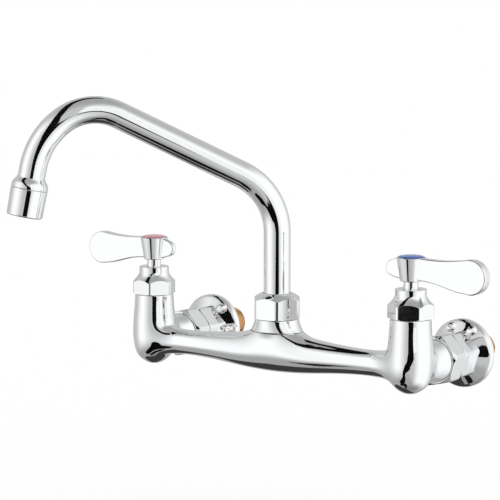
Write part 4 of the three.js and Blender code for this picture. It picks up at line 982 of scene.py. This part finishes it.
    def studio(self, scene):
        """White to the camera and to dull surfaces. Mirrors alone see a tent of pale walls, a
        painted reflection with painted highlights.
        """
        world = bpy.data.worlds.new("studio")
        scene.world = world
        world.use_nodes = True
        tree = world.node_tree
        heading = add_node(tree, "ShaderNodeTexCoord").outputs["Generated"]
        parts = add_node(tree, "ShaderNodeSeparateXYZ", [(0, heading)])
        back = add_node(tree, "ShaderNodeMath", [(0, parts.outputs["Y"])], operation="MULTIPLY")
        back.inputs[1].default_value = -1
        azimuth = add_node(tree, "ShaderNodeMath", [(0, parts.outputs["X"]), (1, back.outputs[0])],
                           operation="ARCTAN2")
        height = parts.outputs["Z"]
        walls = self.ramp(tree, azimuth.outputs[0], -math.pi, math.pi, self.WALLS,
                          math.radians(1))
        ceiling = self.ramp(tree, height, -1.0, 1.0, self.CEILING, 1)
        right = add_node(tree, "ShaderNodeMapRange", [("Value", azimuth.outputs[0])],
                         interpolation_type="SMOOTHSTEP",
                         From_Min=math.radians(self.DEEPER_FROM[0]),
                         From_Max=math.radians(self.DEEPER_FROM[1]), To_Max=self.WALLS_DEEPER)
        lifted = add_node(tree, "ShaderNodeMath", [(0, height), (1, right.outputs[0])])
        below = add_node(tree, "ShaderNodeMapRange", [("Value", lifted.outputs[0])],
                         interpolation_type="SMOOTHSTEP", From_Min=self.WALLS_FROM[0],
                         From_Max=self.WALLS_FROM[1])
        above = add_node(tree, "ShaderNodeMapRange", [("Value", height)],
                         interpolation_type="SMOOTHSTEP", From_Min=self.WALLS_TO[0],
                         From_Max=self.WALLS_TO[1])
        level = add_node(tree, "ShaderNodeMath", [(0, below.outputs[0]), (1, above.outputs[0])],
                         operation="MULTIPLY")
        tent = add_node(tree, "ShaderNodeMixRGB", [("Fac", level.outputs[0]),
                                                   ("Color1", ceiling), ("Color2", walls)])
        lit = add_node(tree, "ShaderNodeVectorMath", [(0, tent.outputs[0])], operation="SCALE",
                       Scale=self.MIRROR_GAIN)
        # Only glossy rays see the tent: painted reflection and painted highlights on the chrome.
        glossy = add_node(tree, "ShaderNodeLightPath").outputs["Is Glossy Ray"]
        mixed = add_node(tree, "ShaderNodeMixRGB", [("Fac", glossy), ("Color2", lit.outputs[0])])
        mixed.inputs["Color1"].default_value = (1, 1, 1, 1)
        tree.links.new(mixed.outputs[0], tree.nodes["Background"].inputs["Color"])

    def execute(self, context):
        scene = context.scene
        deselect()
        bpy.ops.mesh.primitive_plane_add(size=self.FLOOR_SIZE, location=(0, 0, self.FLOOR_HEIGHT))
        floor = context.object
        floor.name = "floor"
        # Mirrors don't see the floor; they see the dark sheets under it, a painted reflection.
        floor.visible_glossy = False
        material, _, shader = start_finish("pale_floor", (1, 1, 1), 0, 1)
        shader.inputs["Specular IOR Level"].default_value = 0
        floor.data.materials.append(material)
        self.cards()
        self.studio(scene)

        camera = bpy.data.cameras.new("photo_camera")
        camera.sensor_width = self.CAMERA_SENSOR
        camera.lens = self.CAMERA_LENS
        camera.clip_end = 20
        view = bpy.data.objects.new("photo_camera", camera)
        scene.collection.objects.link(view)
        aim_x, aim_z = self.CAMERA_AIM
        target = Vector((aim_x, -sizes().bar_depth, aim_z))
        back = self.heading(self.CAMERA_AZIMUTH, self.CAMERA_ELEVATION)
        view.location = target + back * self.CAMERA_DISTANCE
        view.rotation_euler = (math.pi / 2 - math.radians(self.CAMERA_ELEVATION), 0,
                               math.radians(self.CAMERA_AZIMUTH))
        scene.camera = view
        scene.view_settings.view_transform = "Standard"
        return {"FINISHED"}


class FAUCET_PT_panel(bpy.types.Panel):
    """Lists the steps that build the faucet"""
    bl_idname = "FAUCET_PT_panel"
    bl_label = "Wall Faucet"
    bl_space_type = "VIEW_3D"
    bl_region_type = "UI"
    bl_category = "Faucet"

    def draw(self, context):
        for step in STEPS:
            self.layout.operator(step.bl_idname)
        for group in (context.scene.faucet_sizes, context.scene.faucet_finish):
            for name in group.__annotations__:
                self.layout.prop(group, name)


STEPS = (FAUCET_OT_stage, FAUCET_OT_hidden, FAUCET_OT_body, FAUCET_OT_bonnets,
         FAUCET_OT_handles, FAUCET_OT_stems, FAUCET_OT_indexes, FAUCET_OT_inlets, FAUCET_OT_spout)
CLASSES = (FaucetSizes, FaucetFinish, *STEPS, FAUCET_PT_panel)


def register():
    for item in CLASSES:
        bpy.utils.register_class(item)
    bpy.types.Scene.faucet_sizes = PointerProperty(type=FaucetSizes)
    bpy.types.Scene.faucet_finish = PointerProperty(type=FaucetFinish)


def unregister():
    del bpy.types.Scene.faucet_finish
    del bpy.types.Scene.faucet_sizes
    for item in reversed(CLASSES):
        bpy.utils.unregister_class(item)


def main():
    register()
    bpy.ops.faucet.stage()
    bpy.ops.faucet.hidden()
    bpy.ops.faucet.body()
    bpy.ops.faucet.bonnets()
    bpy.ops.faucet.handles()
    bpy.ops.faucet.stems()
    bpy.ops.faucet.indexes()
    bpy.ops.faucet.inlets()
    bpy.ops.faucet.spout()


if __name__ == "__main__":
    main()
